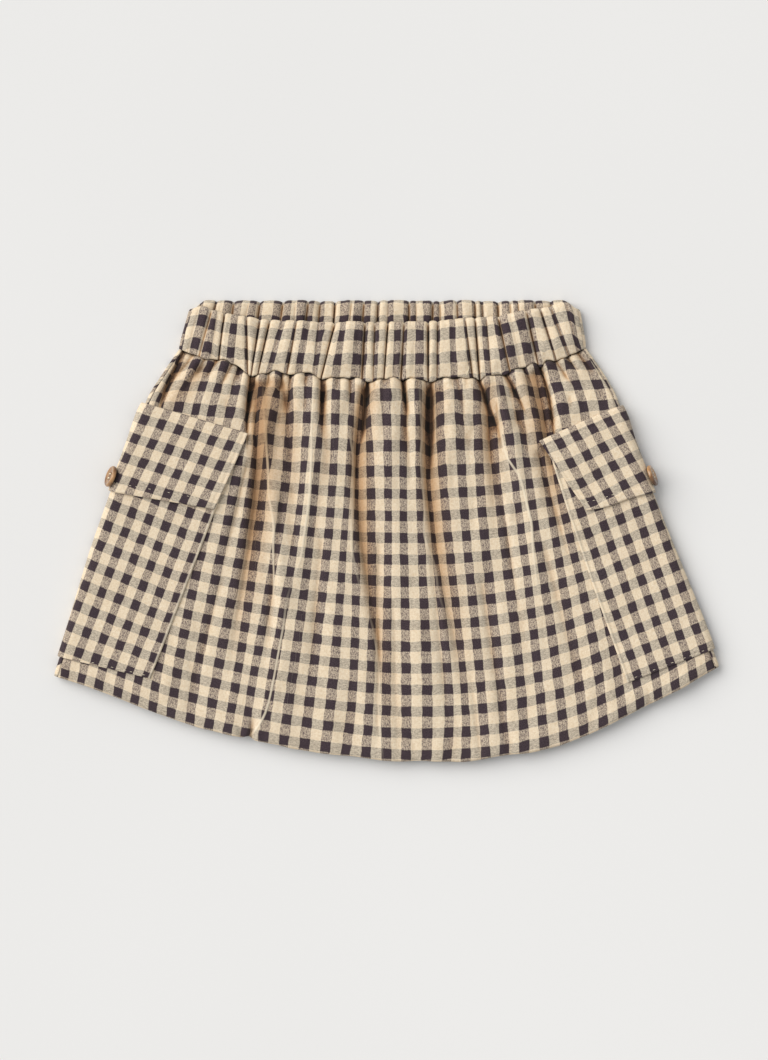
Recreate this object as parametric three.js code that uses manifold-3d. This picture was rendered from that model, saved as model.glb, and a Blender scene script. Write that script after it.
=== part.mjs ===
// A small child's cargo skirt in checked cotton, laid flat on its back on a table.
// X runs across the skirt, Y from the hem up to the waist, and Z up from the table.
// Sizes are in millimetres, and the origin is the middle of the skirt on the table.
//
// Every cloth piece is taken from one tube, the flattened skirt. A place on the tube has two
// numbers: around, which is 0 at the middle of the front, 1 at the right fold, -1 at the left fold
// and 2 or -2 at the middle of the back, and down, which is 0 at the waist seam and 1 at the hem.
import * as THREE from "three";
import { mergeVertices } from "three/addons/utils/BufferGeometryUtils.js";
import Module from "manifold-3d";

const { cos, sin, abs, sqrt, exp, min, max, sign, PI } = Math;

// Cloth
const CLOTH = 1.0; // thickness of a panel, pocket or flap
const LAYER_GAP = 0.4; // clear space between two layers that lie on each other
const SEAM_GAP = 0.7; // clear space between two pieces that are sewn edge to edge
const LAYER = CLOTH + LAYER_GAP; // from the middle of one layer to the middle of the next
const TROUGH_GAP = 0.3; // further clear space under the deepest folds of the front

// Waist seam, where the gathered skirt meets the waistband, from the left fold (0) to the right one (1).
// A deep gather pulls it down near the left.
const WAIST = { left: -107.4, right: 103.2, frontY: 78.8, backY: 90 };
const WAIST_SEAM = [
  { at: 0, y: 94.4 },
  { at: 0.05, y: 90.2 },
  { at: 0.135, y: 87 },
  { at: 0.185, y: 80.2 },
  { at: 0.23, y: 82 },
  { at: 0.3, y: 81.4 },
  { at: 0.37, y: 79 },
  { at: 0.74, y: 78.8 },
  { at: 0.83, y: 83.2 },
  { at: 0.94, y: 89 },
  { at: 1, y: 95 },
];

// Hem, from fold to fold
const HEM = { left: -172.64, right: 172.66, lowY: -120 };
const HEM_LINE = [
  { at: 0, y: -75.4 },
  { at: 0.06, y: -82 },
  { at: 0.17, y: -97.2 },
  { at: 0.3, y: -109 },
  { at: 0.42, y: -116.2 },
  { at: 0.54, y: -120 },
  { at: 0.68, y: -117 },
  { at: 0.79, y: -107.6 },
  { at: 0.9, y: -89.6 },
  { at: 1, y: -70.6 },
];
const BACK_HEM_UP = 4; // how far the hidden back hem stays inside the front one

// How far each side fold bows out from the straight line between waist and hem
const SIDE_BOW = [
  { at: 0, left: 0, right: 0 },
  { at: 0.07, left: 3.6, right: 3.4 },
  { at: 0.15, left: 6.6, right: 5.4 },
  { at: 0.3, left: 6.0, right: 2.8 },
  { at: 0.6, left: 4.9, right: 1.4 },
  { at: 0.85, left: 1.6, right: 1.0 },
  { at: 1, left: 0, right: 0 },
];
const BOW_POWER = 3; // the bow fades towards the middle of the panel

// How far the front stands above the back, without its folds
const LOFT = [
  { at: 0, middle: 3.4, side: 3.0 },
  { at: 0.15, middle: 3.5, side: 3.0 },
  { at: 0.4, middle: 3.4, side: 2.8 },
  { at: 0.7, middle: 3.2, side: 2.8 },
  { at: 1, middle: 3.0, side: 2.6 },
];
const TURN = 0.024; // share of the half width that a side fold takes to turn over
const TURN_SHARE = 0.045; // share of the around number that the same turn takes
const SIDE_SEAM = 0.972; // where the side seam lies, just in front of the fold
const SEAM_SHARE = 0.005; // share of the around number that the side seam's clear space takes

// Long folds of the front. across is a share of the half width at four heights, from waist to hem;
// height is above the loft, below it when negative; left and right are the widths of its slopes.
const FOLDS = [
  { across: [-0.625, -0.52, -0.505, -0.49], height: -3.6, left: 2.6, right: 7.5, ends: 0.95 },
  { across: [-0.5, -0.377, -0.37, -0.37], height: -1.8, left: 5, right: 5, ends: 0.5 },
  { across: [-0.19, -0.13, -0.03, -0.018], height: -3.2, left: 6, right: 4.5, ends: 0.98 },
  { across: [0.215, 0.19, 0.24, 0.253], height: -3.1, left: 3.5, right: 7, ends: 0.95 },
  { across: [0.506, 0.447, 0.43, 0.43], height: -2.4, left: 4, right: 5, ends: 0.5 },
  { across: [0.75, 0.695, 0.71, 0.72], height: -3.1, left: 6, right: 2.6, ends: 0.6 },
  { across: [-0.86, -0.95, -0.99, -0.99], height: -1.8, left: 4, right: 5, ends: 0.26 },
  { across: [-0.6, -0.455, -0.36, -0.4], height: 1.7, left: 3, right: 4, ends: 1.3 },
  { across: [-0.33, -0.305, -0.34, -0.38], height: 1.6, left: 4, right: 3.4, ends: 0.9 },
  { across: [0.5, 0.57, 0.53, 0.52], height: 1.6, left: 4, right: 4, ends: 0.8 },
  { across: [0.02, 0.03, 0.06, 0.08], height: 1.2, left: 9, right: 9, ends: 0.9 },
];
const FOLD_STARTS = 0.03; // a long fold grows to its full height over this share of the length

// Gathers, drawn in by the elastic
const GATHERS = { count: 23, height: 3, fades: 20 }; // fades is in millimetres below the seam
const BAND_GATHER = 2.4; // how far a gather of the waistband stands out
const BAND_SCALLOP = 0.8; // how far each gather lifts the band's top edge

// Waistband
const BAND = { frontY: 108.4, backY: 119.75, topLeft: -101.5, topRight: 99.5, sideY: 115.5 };
const BAND_RISE = { left: 10.4, leftPower: 4, right: 11.6, rightPower: 2.2 };
const BAND_WALL = 1.2; // its thinnest place, between two gathers
const BAND_BACK_Z = 0.6; // middle of the back wall
const BAND_FRONT_Z = 5.4; // middle of the front wall

// Cargo pockets and their flaps. in is the share of the half width from the middle to the inner edge.
const POCKETS = [
  {
    side: "left",
    way: -1,
    pocket: { inTop: 0.622, inBottom: 0.732, topIn: 0.215, topOut: 0.215, bottomIn: 0.914, bottomOut: 0.942 },
    flap: { inTop: 0.59, inBottom: 0.655, topIn: 0.167, topOut: 0.168, bottomIn: 0.394, bottomOut: 0.438 },
    button: { down: 0.398, lean: 22 },
  },
  {
    side: "right",
    way: 1,
    pocket: { inTop: 0.7, inBottom: 0.748, topIn: 0.245, topOut: 0.245, bottomIn: 0.917, bottomOut: 0.946 },
    flap: { inTop: 0.695, inBottom: 0.78, topIn: 0.211, topOut: 0.183, bottomIn: 0.425, bottomOut: 0.46 },
    button: { down: 0.41, lean: 14 },
  },
];
const STEP_FROM = 2; // a layer starts to come down this far beyond the edge of the one below
const STEP_WIDTH = 17; // and is down within this distance
const FLAP_LIFT = 0.7; // how far the free edge of a flap stands off the pocket

// Button: sewn through, with a rim and a shallow dish
const BUTTON = { radius: 5.7, thick: 2.2, rim: 1.5, dish: 0.5, hole: 0.8, holesAt: 1.6, gap: 0.35 };

const CLOTH_COLOUR = 0xe6d2ab;
const BAND_COLOUR = 0xdcc8a4;
const BUTTON_COLOUR = 0xb98a56;

const mix = (a, b, t) => a + (b - a) * t;
const clamp01 = (t) => min(1, max(0, t));
const smooth = (t) => clamp01(t) ** 2 * (3 - 2 * clamp01(t));
// A soft floor: t where t is large, nearly 0 where t is negative.
const softFloor = (t, k) => (t + sqrt(t * t + k * k)) / 2;

// A smooth curve through one column of a table, by cubic pieces with the slopes of their neighbours.
function through(table, column, at) {
  const last = table.length - 1;
  let i = 0;
  while (i < last - 1 && at > table[i + 1].at) i++;
  const slope = (j) => {
    const a = table[max(0, j - 1)];
    const b = table[min(last, j + 1)];
    return (b[column] - a[column]) / (b.at - a.at);
  };
  const [a, b] = [table[i], table[i + 1]];
  const step = b.at - a.at;
  const t = clamp01((at - a.at) / step);
  const [t2, t3] = [t * t, t * t * t];
  const ends = a[column] * (2 * t3 - 3 * t2 + 1) + b[column] * (3 * t2 - 2 * t3);
  return ends + step * (slope(i) * (t3 - 2 * t2 + t) + slope(i + 1) * (t3 - t2));
}

// The cubic through four values at 0, 1/3, 2/3 and 1.
function fourPoint([a, b, c, d], t) {
  const [p, q, r] = [t * 3, t * 3 - 1, t * 3 - 2];
  const s = t * 3 - 3;
  return (-a * q * r * s) / 6 + (b * p * r * s) / 2 - (c * p * q * s) / 2 + (d * p * q * r) / 6;
}

// The place in the plan of a point of the tube: u is -1 at the left fold and 1 at the right.
function planOf(u, down, isBack) {
  const share = (u + 1) / 2;
  const waistX = mix(WAIST.left, WAIST.right, share);
  const frontSeam = through(WAIST_SEAM, "y", share);
  const sideY = WAIST_SEAM.at(u < 0 ? 0 : -1).y;
  const waistY = isBack ? mix(WAIST.backY, sideY, u * u) : frontSeam;
  const hemX = mix(HEM.left, HEM.right, share);
  const hemY = through(HEM_LINE, "y", share);
  const bow = u < 0 ? -through(SIDE_BOW, "left", down) : through(SIDE_BOW, "right", down);
  return {
    x: mix(waistX, hemX, down) + bow * abs(u) ** BOW_POWER,
    y: mix(waistY, hemY + (isBack ? BACK_HEM_UP * (1 - u * u) : 0), down),
  };
}

const halfWidth = (down) => mix(WAIST.right - WAIST.left, HEM.right - HEM.left, down) / 2;
const LENGTH = WAIST.frontY - HEM.lowY;

// How much of the tube lies over a pocket or a flap: 1 inside its outline, 0 beyond a step's width.
function cover(u, down, part) {
  const { inTop, inBottom, topIn, topOut, bottomIn, bottomOut } = part;
  const top = mix(topIn, topOut, clamp01((abs(u) - inTop) / (1 - inTop)));
  const bottom = mix(bottomIn, bottomOut, clamp01((abs(u) - inBottom) / (1 - inBottom)));
  const inner = mix(inTop, inBottom, clamp01((down - topIn) / (bottomIn - topIn)));
  const beyond = max(
    (inner - abs(u)) * halfWidth(down),
    (top - down) * LENGTH,
    (down - bottom) * LENGTH,
  );
  return 1 - smooth((beyond - STEP_FROM) / STEP_WIDTH);
}
const sideOf = (u) => POCKETS[u < 0 ? 0 : 1];
const pocketCover = (u, down) => cover(u, down, sideOf(u).pocket);
const flapCover = (u, down) => cover(u, down, sideOf(u).flap);

// Middle of the back panel: on the table, or on the back half of a pocket and its flap.
const backZ = (u, down) => CLOTH / 2 + LAYER * (pocketCover(u, down) + flapCover(u, down));

// Phase of the gathers: a whole turn for each, unevenly spaced.
const gatherPhase = (u) =>
  2 * PI * ((GATHERS.count * (u + 1)) / 2 + 0.33 * sin(5.1 * u + 1) + 0.2 * sin(13.7 * u + 2));
// A gather's section: a round ridge between two sharp valleys, 0 to 1.
const gatherShape = (phase) => sqrt(sin(phase / 2) ** 2 + 0.02);

function gatherHeight(u, down) {
  const uneven = 1 + 0.3 * sin(7.3 * u + 0.5) + 0.2 * sin(19 * u + 1.3);
  const fade = exp(-(down * LENGTH) / (GATHERS.fades * (1 + 0.4 * sin(11 * u))));
  const calmSide = 1 - smooth((down - 0.1) / 0.06) * smooth((abs(u) - 0.5) / 0.1);
  return GATHERS.height * uneven * fade * calmSide * (gatherShape(gatherPhase(u)) - 0.6);
}

function foldHeight(u, down) {
  let sum = 0;
  for (const fold of FOLDS) {
    const off = (u - fourPoint(fold.across, down)) * halfWidth(down);
    const width = off < 0 ? fold.left : fold.right;
    const along = smooth(down / FOLD_STARTS) * (1 - smooth((down / fold.ends - 0.45) / 0.55));
    sum += fold.height * along * exp(-((off / width) ** 2));
  }
  return sum;
}

// Middle of the front panel. Without folds it is the smooth form that pockets and flaps lie on.
function frontZ(u, down, folded) {
  const edge = smooth((abs(u) - 0.5) / 0.45);
  const loft = mix(through(LOFT, "middle", down), through(LOFT, "side", down), edge);
  const calm = 1 - smooth((abs(u) - 0.9) / 0.06);
  const folds = folded ? calm * (foldHeight(u, down) + gatherHeight(u, down)) : 0;
  return backZ(u, down) + LAYER + TROUGH_GAP + softFloor(loft + folds, 0.6);
}

// From the around number to the share of the half width, and how far over the turn it is.
function turnOf(around) {
  const wrapped = around > 2 ? around - 4 : around < -2 ? around + 4 : around;
  const isBack = abs(wrapped) > 1;
  const near = isBack ? 2 - abs(wrapped) : abs(wrapped);
  const flat = 1 - TURN_SHARE;
  if (near <= flat) return { u: sign(wrapped) * (near / flat) * (1 - TURN), level: 1, isBack };
  const angle = (((near - flat) / TURN_SHARE) * PI) / 2;
  return { u: sign(wrapped) * (1 - TURN + TURN * sin(angle)), level: cos(angle), isBack };
}
// The other way round, for a point of the front that isn't on the turn.
const aroundOf = (u) => (u / (1 - TURN)) * (1 - TURN_SHARE);

// A point of the middle of the tube's cloth.
function tube(around, down, folded = true) {
  const { u, level, isBack } = turnOf(around);
  const { x, y } = planOf(u, down, isBack);
  const low = backZ(u, down);
  const high = frontZ(u, down, folded);
  return new THREE.Vector3(x, y, (low + high) / 2 + ((isBack ? -level : level) * (high - low)) / 2);
}

const plainTube = (a, b) => tube(a, b, false);

// The outward normal of a surface place(a, b), where a runs from left to right over the front.
function normalOf(place, a, b) {
  const [da, db] = [2e-3, 2e-3];
  const across = place(a + da, b).sub(place(a - da, b));
  const along = place(a, min(1, b + db)).sub(place(a, max(0, b - db)));
  return along.cross(across).normalize();
}

// A closed wall between two sheets of points, grids with the same rows and columns.
// The outer sheet faces its normal, and the rims join the two all round.
function wallBetween(outer, inner) {
  const [rows, columns] = [outer.length, outer[0].length];
  const positions = [];
  for (const sheet of [outer, inner]) for (const row of sheet) for (const p of row) positions.push(...p);
  const at = (sheet, r, c) => (sheet * rows + r) * columns + c;
  const index = [];
  const quad = (a, b, c, d) => index.push(a, b, c, a, c, d);
  for (let r = 0; r < rows - 1; r++)
    for (let c = 0; c < columns - 1; c++) {
      quad(at(0, r, c), at(0, r + 1, c), at(0, r + 1, c + 1), at(0, r, c + 1));
      quad(at(1, r, c), at(1, r, c + 1), at(1, r + 1, c + 1), at(1, r + 1, c));
    }
  for (let c = 0; c < columns - 1; c++) {
    quad(at(0, 0, c), at(0, 0, c + 1), at(1, 0, c + 1), at(1, 0, c));
    quad(at(0, rows - 1, c + 1), at(0, rows - 1, c), at(1, rows - 1, c), at(1, rows - 1, c + 1));
  }
  for (let r = 0; r < rows - 1; r++) {
    quad(at(0, r + 1, 0), at(0, r, 0), at(1, r, 0), at(1, r + 1, 0));
    quad(at(0, r, columns - 1), at(0, r + 1, columns - 1), at(1, r + 1, columns - 1), at(1, r, columns - 1));
  }
  const geometry = new THREE.BufferGeometry();
  geometry.setAttribute("position", new THREE.Float32BufferAttribute(positions, 3));
  geometry.setIndex(index);
  return geometry;
}

// A cloth wall on a grid of places, offset(a, b) being how far its middle lies outside place(a, b).
// No point goes below the table.
function clothWall(place, grid, offset, half = () => [CLOTH / 2, CLOTH / 2]) {
  const outer = [];
  const inner = [];
  for (const row of grid) {
    outer.push([]);
    inner.push([]);
    for (const [a, b] of row) {
      const base = place(a, b);
      const normal = normalOf(place, a, b);
      const middle = offset(a, b);
      const [out, into] = half(a, b);
      const outside = base.clone().addScaledVector(normal, middle + out);
      const inside = base.clone().addScaledVector(normal, middle - into);
      outside.z = max(0, outside.z);
      outer.at(-1).push(outside.toArray());
      inner.at(-1).push(inside.toArray());
    }
  }
  return wallBetween(outer, inner);
}

const steps = (count, from = 0, to = 1) =>
  Array.from({ length: count + 1 }, (_, i) => mix(from, to, i / count));

// Places between two ends, three to each gather, so that every valley and both its slopes are met.
function gatherColumns(from, to, phaseAt) {
  const third = (2 * PI) / 3;
  const ends = [phaseAt(from), phaseAt(to)].map((phase) => phase / third);
  const rising = ends[1] > ends[0];
  const columns = [];
  for (let count = Math.ceil(min(...ends) + 0.3); count < max(...ends) - 0.3; count++) {
    let [low, high] = [from, to];
    for (let i = 0; i < 30; i++) {
      const half = (low + high) / 2;
      if (phaseAt(half) < count * third === rising) low = half;
      else high = half;
    }
    columns.push(low);
  }
  if (!rising) columns.reverse();
  return [from, ...columns, to];
}
const FLAT = 1 - TURN_SHARE;

const seamShare = SEAM_GAP / 2 / LENGTH;
const FRONT_ROWS = [seamShare, 0.025, 0.06, 0.12, 0.2, 0.29, 0.38, 0.435, 0.49, 0.545, 0.64, 0.76, 0.88, 1];
function frontPanel() {
  const inside = gatherColumns(-FLAT, FLAT, (around) => gatherPhase(turnOf(around).u));
  const columns = [-SIDE_SEAM, (-SIDE_SEAM - FLAT) / 2, ...inside, (SIDE_SEAM + FLAT) / 2, SIDE_SEAM];
  const grid = FRONT_ROWS.map((down) => columns.map((around) => [around, down]));
  return clothWall(tube, grid, () => 0);
}

// Back panel: from the right side seam round the fold, across the back and up to the left seam.
function backPanel() {
  const half = [SIDE_SEAM + SEAM_SHARE, (SIDE_SEAM + 1) / 2, ...steps(4, 1, 2 - FLAT)];
  half.push(...[0.9, 0.85, 0.8, 0.75, 0.7, 0.65, 0.6, 0.55, 0.5, 0.42, 0.28, 0.14].map((a) => 2 - a));
  const columns = [...half, 2, ...half.map((around) => 4 - around).reverse()];
  const rows = [0.05, 0.1, 0.15, 0.2, 0.26, 0.33, 0.4, 0.45, 0.5, 0.55, 0.62, 0.71, 0.8, 0.88, 0.94, 1];
  rows.unshift(seamShare);
  return clothWall(plainTube, rows.map((down) => columns.map((a) => [a, down])), () => 0);
}

// A patch that goes round a side fold from its front inner edge to the one at the back.
// spread gives the share of the half width of the inner edge at a share b of the patch's height.
function patchGrid(way, part, rows, frontCount) {
  const fronts = steps(frontCount).map((t) => ({ t, isBack: false }));
  const turns = steps(8).map((t) => ({ t, isTurn: true }));
  const grid = [];
  for (const b of rows) {
    const inner = aroundOf(mix(part.inTop, part.inBottom, b));
    const flat = 1 - TURN_SHARE;
    const half = fronts.map(({ t }) => mix(inner, flat, t));
    const turn = turns.slice(1, -1).map(({ t }) => mix(flat, 2 - flat, t));
    const back = fronts.map(({ t }) => mix(2 - flat, 2 - inner, t));
    grid.push(
      [...half, ...turn, ...back].map((around) => {
        const near = 1 - clamp01(abs(around - 1) / (1 - inner));
        const upper = mix(part.topIn, part.topOut, near);
        const lower = mix(part.bottomIn, part.bottomOut, near);
        return [way * around, mix(upper, lower, b)];
      }),
    );
  }
  return way < 0 ? grid.map((row) => row.reverse()) : grid;
}

function pocket({ way, pocket: part }) {
  const rows = [0, 0.1, 0.19, 0.27, 0.34, 0.41, 0.48, 0.58, 0.72, 0.86, 1];
  return clothWall(plainTube, patchGrid(way, part, rows, 5), () => LAYER);
}

// A flap lies on the skirt at its sewn top edge and on the pocket below it. The lower edge of its
// front half stands off a little.
const flapOffset = ({ flap: part, pocket: under }) => (around, down) => {
  const { u, level, isBack } = turnOf(around);
  const lift = isBack ? 0 : level * FLAP_LIFT * smooth((down - part.bottomIn + 0.08) / 0.08);
  return LAYER * (1 + cover(u, down, under)) + lift;
};
function flap(side) {
  return clothWall(plainTube, patchGrid(side.way, side.flap, steps(6), 7), flapOffset(side));
}

// The middle of the waistband's cloth: fromTop is 0 at the top edge and 1 at the waist seam.
function bandFromTop(around, fromTop) {
  const high = 1 - fromTop;
  const { u, level, isBack } = turnOf(around);
  const seam = planOf(u, 0, isBack);
  const side = u < 0 ? "left" : "right";
  const topX = mix(BAND.topLeft, BAND.topRight, (u + 1) / 2);
  const rise = BAND_RISE[side] * abs(u) ** BAND_RISE[side + "Power"];
  const corner = smooth((abs(u) - 0.93) / 0.07);
  const level0 = isBack ? BAND.backY : BAND.frontY + rise;
  const scallop = BAND_SCALLOP * (1 - corner) * (gatherShape(bandPhase(around)) - 0.6);
  const topY = mix(level0, BAND.sideY, corner) + scallop;
  const middle = (BAND_BACK_Z + BAND_FRONT_Z) / 2;
  const reach = (BAND_FRONT_Z - BAND_BACK_Z) / 2;
  return new THREE.Vector3(
    mix(seam.x, topX, high),
    mix(seam.y, topY, high),
    middle + (isBack ? -level : level) * reach,
  );
}
// The band's own gathers, which lean a little and don't line up with the skirt's.
function bandPhase(around) {
  const { u, isBack } = turnOf(around);
  const shift = isBack ? 0.37 : 0;
  const uneven = 0.3 * sin(6.3 * u + 2 + shift) + 0.22 * sin(15.1 * u + 4 * shift);
  return 2 * PI * ((GATHERS.count * (u + 1)) / 2 + shift + uneven);
}
function bandGather(around, high) {
  const calm = 1 - smooth((abs(turnOf(around).u) - 0.88) / 0.08);
  const along = 0.5 + 0.5 * sqrt(sin(PI * clamp01(high)));
  return BAND_GATHER * mix(0.35, gatherShape(bandPhase(around)), calm) * along;
}

// The gathers stand out on the outer face at the front. At the back they stand on the inner face,
// which shows above the front band, and the outer face lies flat on the table.
function bandHalf(around, high) {
  const { level, isBack } = turnOf(around);
  const gather = bandGather(around, high);
  const share = isBack ? level : 0;
  return [BAND_WALL / 2 + gather * (1 - share), BAND_WALL / 2 + gather * share];
}
const BAND_ROWS = [0, 0.12, 0.5, 0.88, 1 - SEAM_GAP / 2 / (BAND.frontY - WAIST.frontY)];
const bandWall = (columns) =>
  clothWall(
    bandFromTop,
    BAND_ROWS.map((fromTop) => columns.map((around) => [around, fromTop])),
    () => 0,
    (around, fromTop) => bandHalf(around, 1 - fromTop),
  );
function frontBand() {
  const inside = gatherColumns(-FLAT, FLAT, bandPhase);
  return bandWall([-SIDE_SEAM, (-SIDE_SEAM - FLAT) / 2, ...inside, (SIDE_SEAM + FLAT) / 2, SIDE_SEAM]);
}
function backBand() {
  const turn = [SIDE_SEAM + SEAM_SHARE, (SIDE_SEAM + 1) / 2, ...steps(3, 1, 2 - FLAT).slice(0, -1)];
  const inside = gatherColumns(2 - FLAT, 2 + FLAT, bandPhase);
  return bandWall([...turn, ...inside, ...turn.map((around) => 4 - around).reverse()]);
}

// A closed geometry as a solid that can be cut, and back again.
const wasm = await Module();
wasm.setup();
function solidOf(geometry) {
  const bare = new THREE.BufferGeometry();
  bare.setAttribute("position", geometry.getAttribute("position"));
  bare.setIndex(geometry.index);
  const merged = mergeVertices(bare, 1e-4);
  return new wasm.Manifold(
    new wasm.Mesh({
      numProp: 3,
      vertProperties: merged.attributes.position.array,
      triVerts: new Uint32Array(merged.index.array),
    }),
  );
}
function geometryOf(solid) {
  const mesh = solid.getMesh();
  const geometry = new THREE.BufferGeometry();
  geometry.setAttribute("position", new THREE.Float32BufferAttribute(mesh.vertProperties, 3));
  geometry.setIndex([...mesh.triVerts]);
  return geometry;
}

// The button stands on edge along its own Y axis, its back at y = 0, with four holes through it.
function buttonGeometry() {
  const { radius, thick, rim, dish, hole, holesAt } = BUTTON;
  const bevel = 0.6;
  const profile = [
    [0, 0],
    [radius - 2 * bevel, 0],
    [radius - bevel / 2, bevel],
    [radius, thick / 2],
    [radius - bevel / 2, thick - bevel / 2],
    [radius - bevel, thick],
    [radius - rim, thick - dish / 3],
    [radius - rim - bevel, thick - dish],
    [0, thick - dish],
  ].map(([x, y]) => new THREE.Vector2(x, y));
  let solid = solidOf(new THREE.LatheGeometry(profile, 28));
  for (const [x, z] of [[1, 1], [1, -1], [-1, 1], [-1, -1]]) {
    const drill = new THREE.CylinderGeometry(hole, hole, 3 * thick, 8);
    drill.translate((x * holesAt) / sqrt(2), thick / 2, (z * holesAt) / sqrt(2));
    solid = solid.subtract(solidOf(drill));
  }
  return geometryOf(solid);
}

// Turns and moves the button so that its back lies just off the outer face of the flap's fold.
function placeButton(mesh, side) {
  const { way, button } = side;
  const offset = flapOffset(side);
  const onFlap = (a, b) =>
    plainTube(a, b).addScaledVector(normalOf(plainTube, a, b), offset(a, b) + CLOTH / 2);
  let around = 1;
  const lean = sin((button.lean * PI) / 180);
  while (around > 1 - TURN_SHARE && normalOf(onFlap, way * around, button.down).z < lean) around -= 5e-4;
  const normal = normalOf(onFlap, way * around, button.down);
  const seat = onFlap(way * around, button.down);
  mesh.quaternion.setFromUnitVectors(new THREE.Vector3(0, 1, 0), normal);
  mesh.position.copy(seat).addScaledVector(normal, BUTTON.gap);
}

const skirt = new THREE.Group();
function add(name, geometry, color, roughness = 0.9) {
  const mesh = new THREE.Mesh(geometry, new THREE.MeshStandardMaterial({ color, roughness, metalness: 0 }));
  mesh.name = name;
  skirt.add(mesh);
  return mesh;
}

add("front_panel", frontPanel(), CLOTH_COLOUR);
add("back_panel", backPanel(), CLOTH_COLOUR);
add("front_waistband", frontBand(), BAND_COLOUR);
add("back_waistband", backBand(), BAND_COLOUR);
for (const side of POCKETS) {
  add(`${side.side}_pocket`, pocket(side), CLOTH_COLOUR);
  add(`${side.side}_flap`, flap(side), CLOTH_COLOUR);
  placeButton(add(`${side.side}_button`, buttonGeometry(), BUTTON_COLOUR, 0.35), side);
}

export default skirt;
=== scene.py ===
"""A small child's cargo skirt in checked cotton, laid flat on its back on a pale table.

Sizes here are in millimetres and become metres when a mesh is made. Every cloth piece is a sheet
on the flattened tube of the skirt. A place on the tube has two numbers: around, which is 0 at the
middle of the front, 1 at the right fold, -1 at the left fold and 2 or -2 at the middle of the
back, and down, which is 0 at the waist seam and 1 at the hem.
"""

import bmesh
import bpy
import numpy as np
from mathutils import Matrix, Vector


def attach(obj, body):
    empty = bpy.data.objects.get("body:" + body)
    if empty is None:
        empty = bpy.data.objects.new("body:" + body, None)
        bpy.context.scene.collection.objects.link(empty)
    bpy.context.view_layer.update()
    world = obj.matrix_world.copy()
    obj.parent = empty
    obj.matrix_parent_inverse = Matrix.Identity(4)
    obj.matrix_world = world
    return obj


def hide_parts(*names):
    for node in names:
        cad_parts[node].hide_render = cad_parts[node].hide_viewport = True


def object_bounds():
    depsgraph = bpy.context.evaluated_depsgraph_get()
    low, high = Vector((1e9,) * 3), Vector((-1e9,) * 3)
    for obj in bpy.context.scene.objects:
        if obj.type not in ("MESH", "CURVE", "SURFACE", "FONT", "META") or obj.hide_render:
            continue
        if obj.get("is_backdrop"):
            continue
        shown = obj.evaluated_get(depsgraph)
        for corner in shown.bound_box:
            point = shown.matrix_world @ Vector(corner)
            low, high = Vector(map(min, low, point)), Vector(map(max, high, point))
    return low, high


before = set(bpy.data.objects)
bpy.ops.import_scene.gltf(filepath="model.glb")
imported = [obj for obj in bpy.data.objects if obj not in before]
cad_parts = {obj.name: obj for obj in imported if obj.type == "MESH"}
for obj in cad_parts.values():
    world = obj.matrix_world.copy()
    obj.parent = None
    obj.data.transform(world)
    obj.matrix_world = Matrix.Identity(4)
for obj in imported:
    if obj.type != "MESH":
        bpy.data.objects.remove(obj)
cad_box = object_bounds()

MM = 0.001
PI = np.pi

# Sizes shared with the solids
CLOTH, LAYER_GAP, TROUGH_GAP = 1.0, 0.4, 0.3
LAYER = CLOTH + LAYER_GAP
WAIST_LEFT, WAIST_RIGHT, WAIST_FRONT_Y, WAIST_BACK_Y = -107.4, 103.2, 78.8, 90.0
HEM_LEFT, HEM_RIGHT, HEM_LOW_Y = -172.64, 172.66, -120.0
LENGTH = WAIST_FRONT_Y - HEM_LOW_Y
BACK_HEM_UP, BOW_POWER = 4.0, 3
WAIST_HALF, BAND_HALF, HEM_HALF = 105, 103, 172  # rounded half widths, to make shares into millimetres
SEAM_WAVE_REACH = 6  # how far below the waist seam its wave fades out
HEM_NOTCH = (-0.415, 1.5, 2.2)  # share of the half width, height and width
GATHERS, GATHER_HEIGHT, GATHER_FADES = 23, 3, 20  # how many, how high, and how far below the seam
UNDER_BAND = 0.15  # the panels start this far below the waist seam
# Both lines: share of the way from the left fold to the right one, and y there
WAIST_SEAM = np.array([(0, 94.4), (0.05, 90.2), (0.135, 87), (0.185, 80.2), (0.23, 82), (0.3, 81.4),
                       (0.37, 79), (0.74, 78.8), (0.83, 83.2), (0.94, 89), (1, 95)])
HEM_LINE = np.array([(0, -75.4), (0.06, -82), (0.17, -97.2), (0.3, -109), (0.42, -116.2), (0.54, -120),
                     (0.68, -117), (0.79, -107.6), (0.9, -89.6), (1, -70.6)])
# Share of the length, and how far the left and right folds bow out there
SIDE_BOW = np.array([(0, 0, 0), (0.07, 3.6, 3.4), (0.15, 6.6, 5.4), (0.3, 6, 2.8), (0.6, 4.9, 1.4),
                     (0.85, 1.6, 1), (1, 0, 0)])
# Share of the length, and the height of the front over the back, in the middle and at the sides
LOFT = np.array([(0, 3.4, 3), (0.15, 3.5, 3), (0.4, 3.4, 2.8), (0.7, 3.2, 2.8), (1, 3, 2.6)])
# The side turns as a share of the half width and of around, and the side seams on the front
TURN, TURN_SHARE, SIDE_SEAM, SEAM_OPEN = 0.024, 0.045, 0.972, 0.0015
FLAT = 1 - TURN_SHARE
BAND_FRONT_Y, BAND_BACK_Y, BAND_LEFT, BAND_RIGHT, BAND_SIDE_Y = 108.4, 119.75, -101.5, 99.5, 115.5
BAND_WALL, BAND_BACK_Z, BAND_FRONT_Z = 1.2, 0.6, 5.4
BAND_RISE = ((10.4, 4), (11.6, 2.2))  # left and right: height and power
STEP_FROM, STEP_WIDTH = 2, 17  # where the cloth steps down outside a patch below it
FLAP_LIFT = 0.7  # how far a flap's lower edge stands off at the front
SNUG_LAYER = 1.04  # from the middle of one layer to the next on the front

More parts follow.
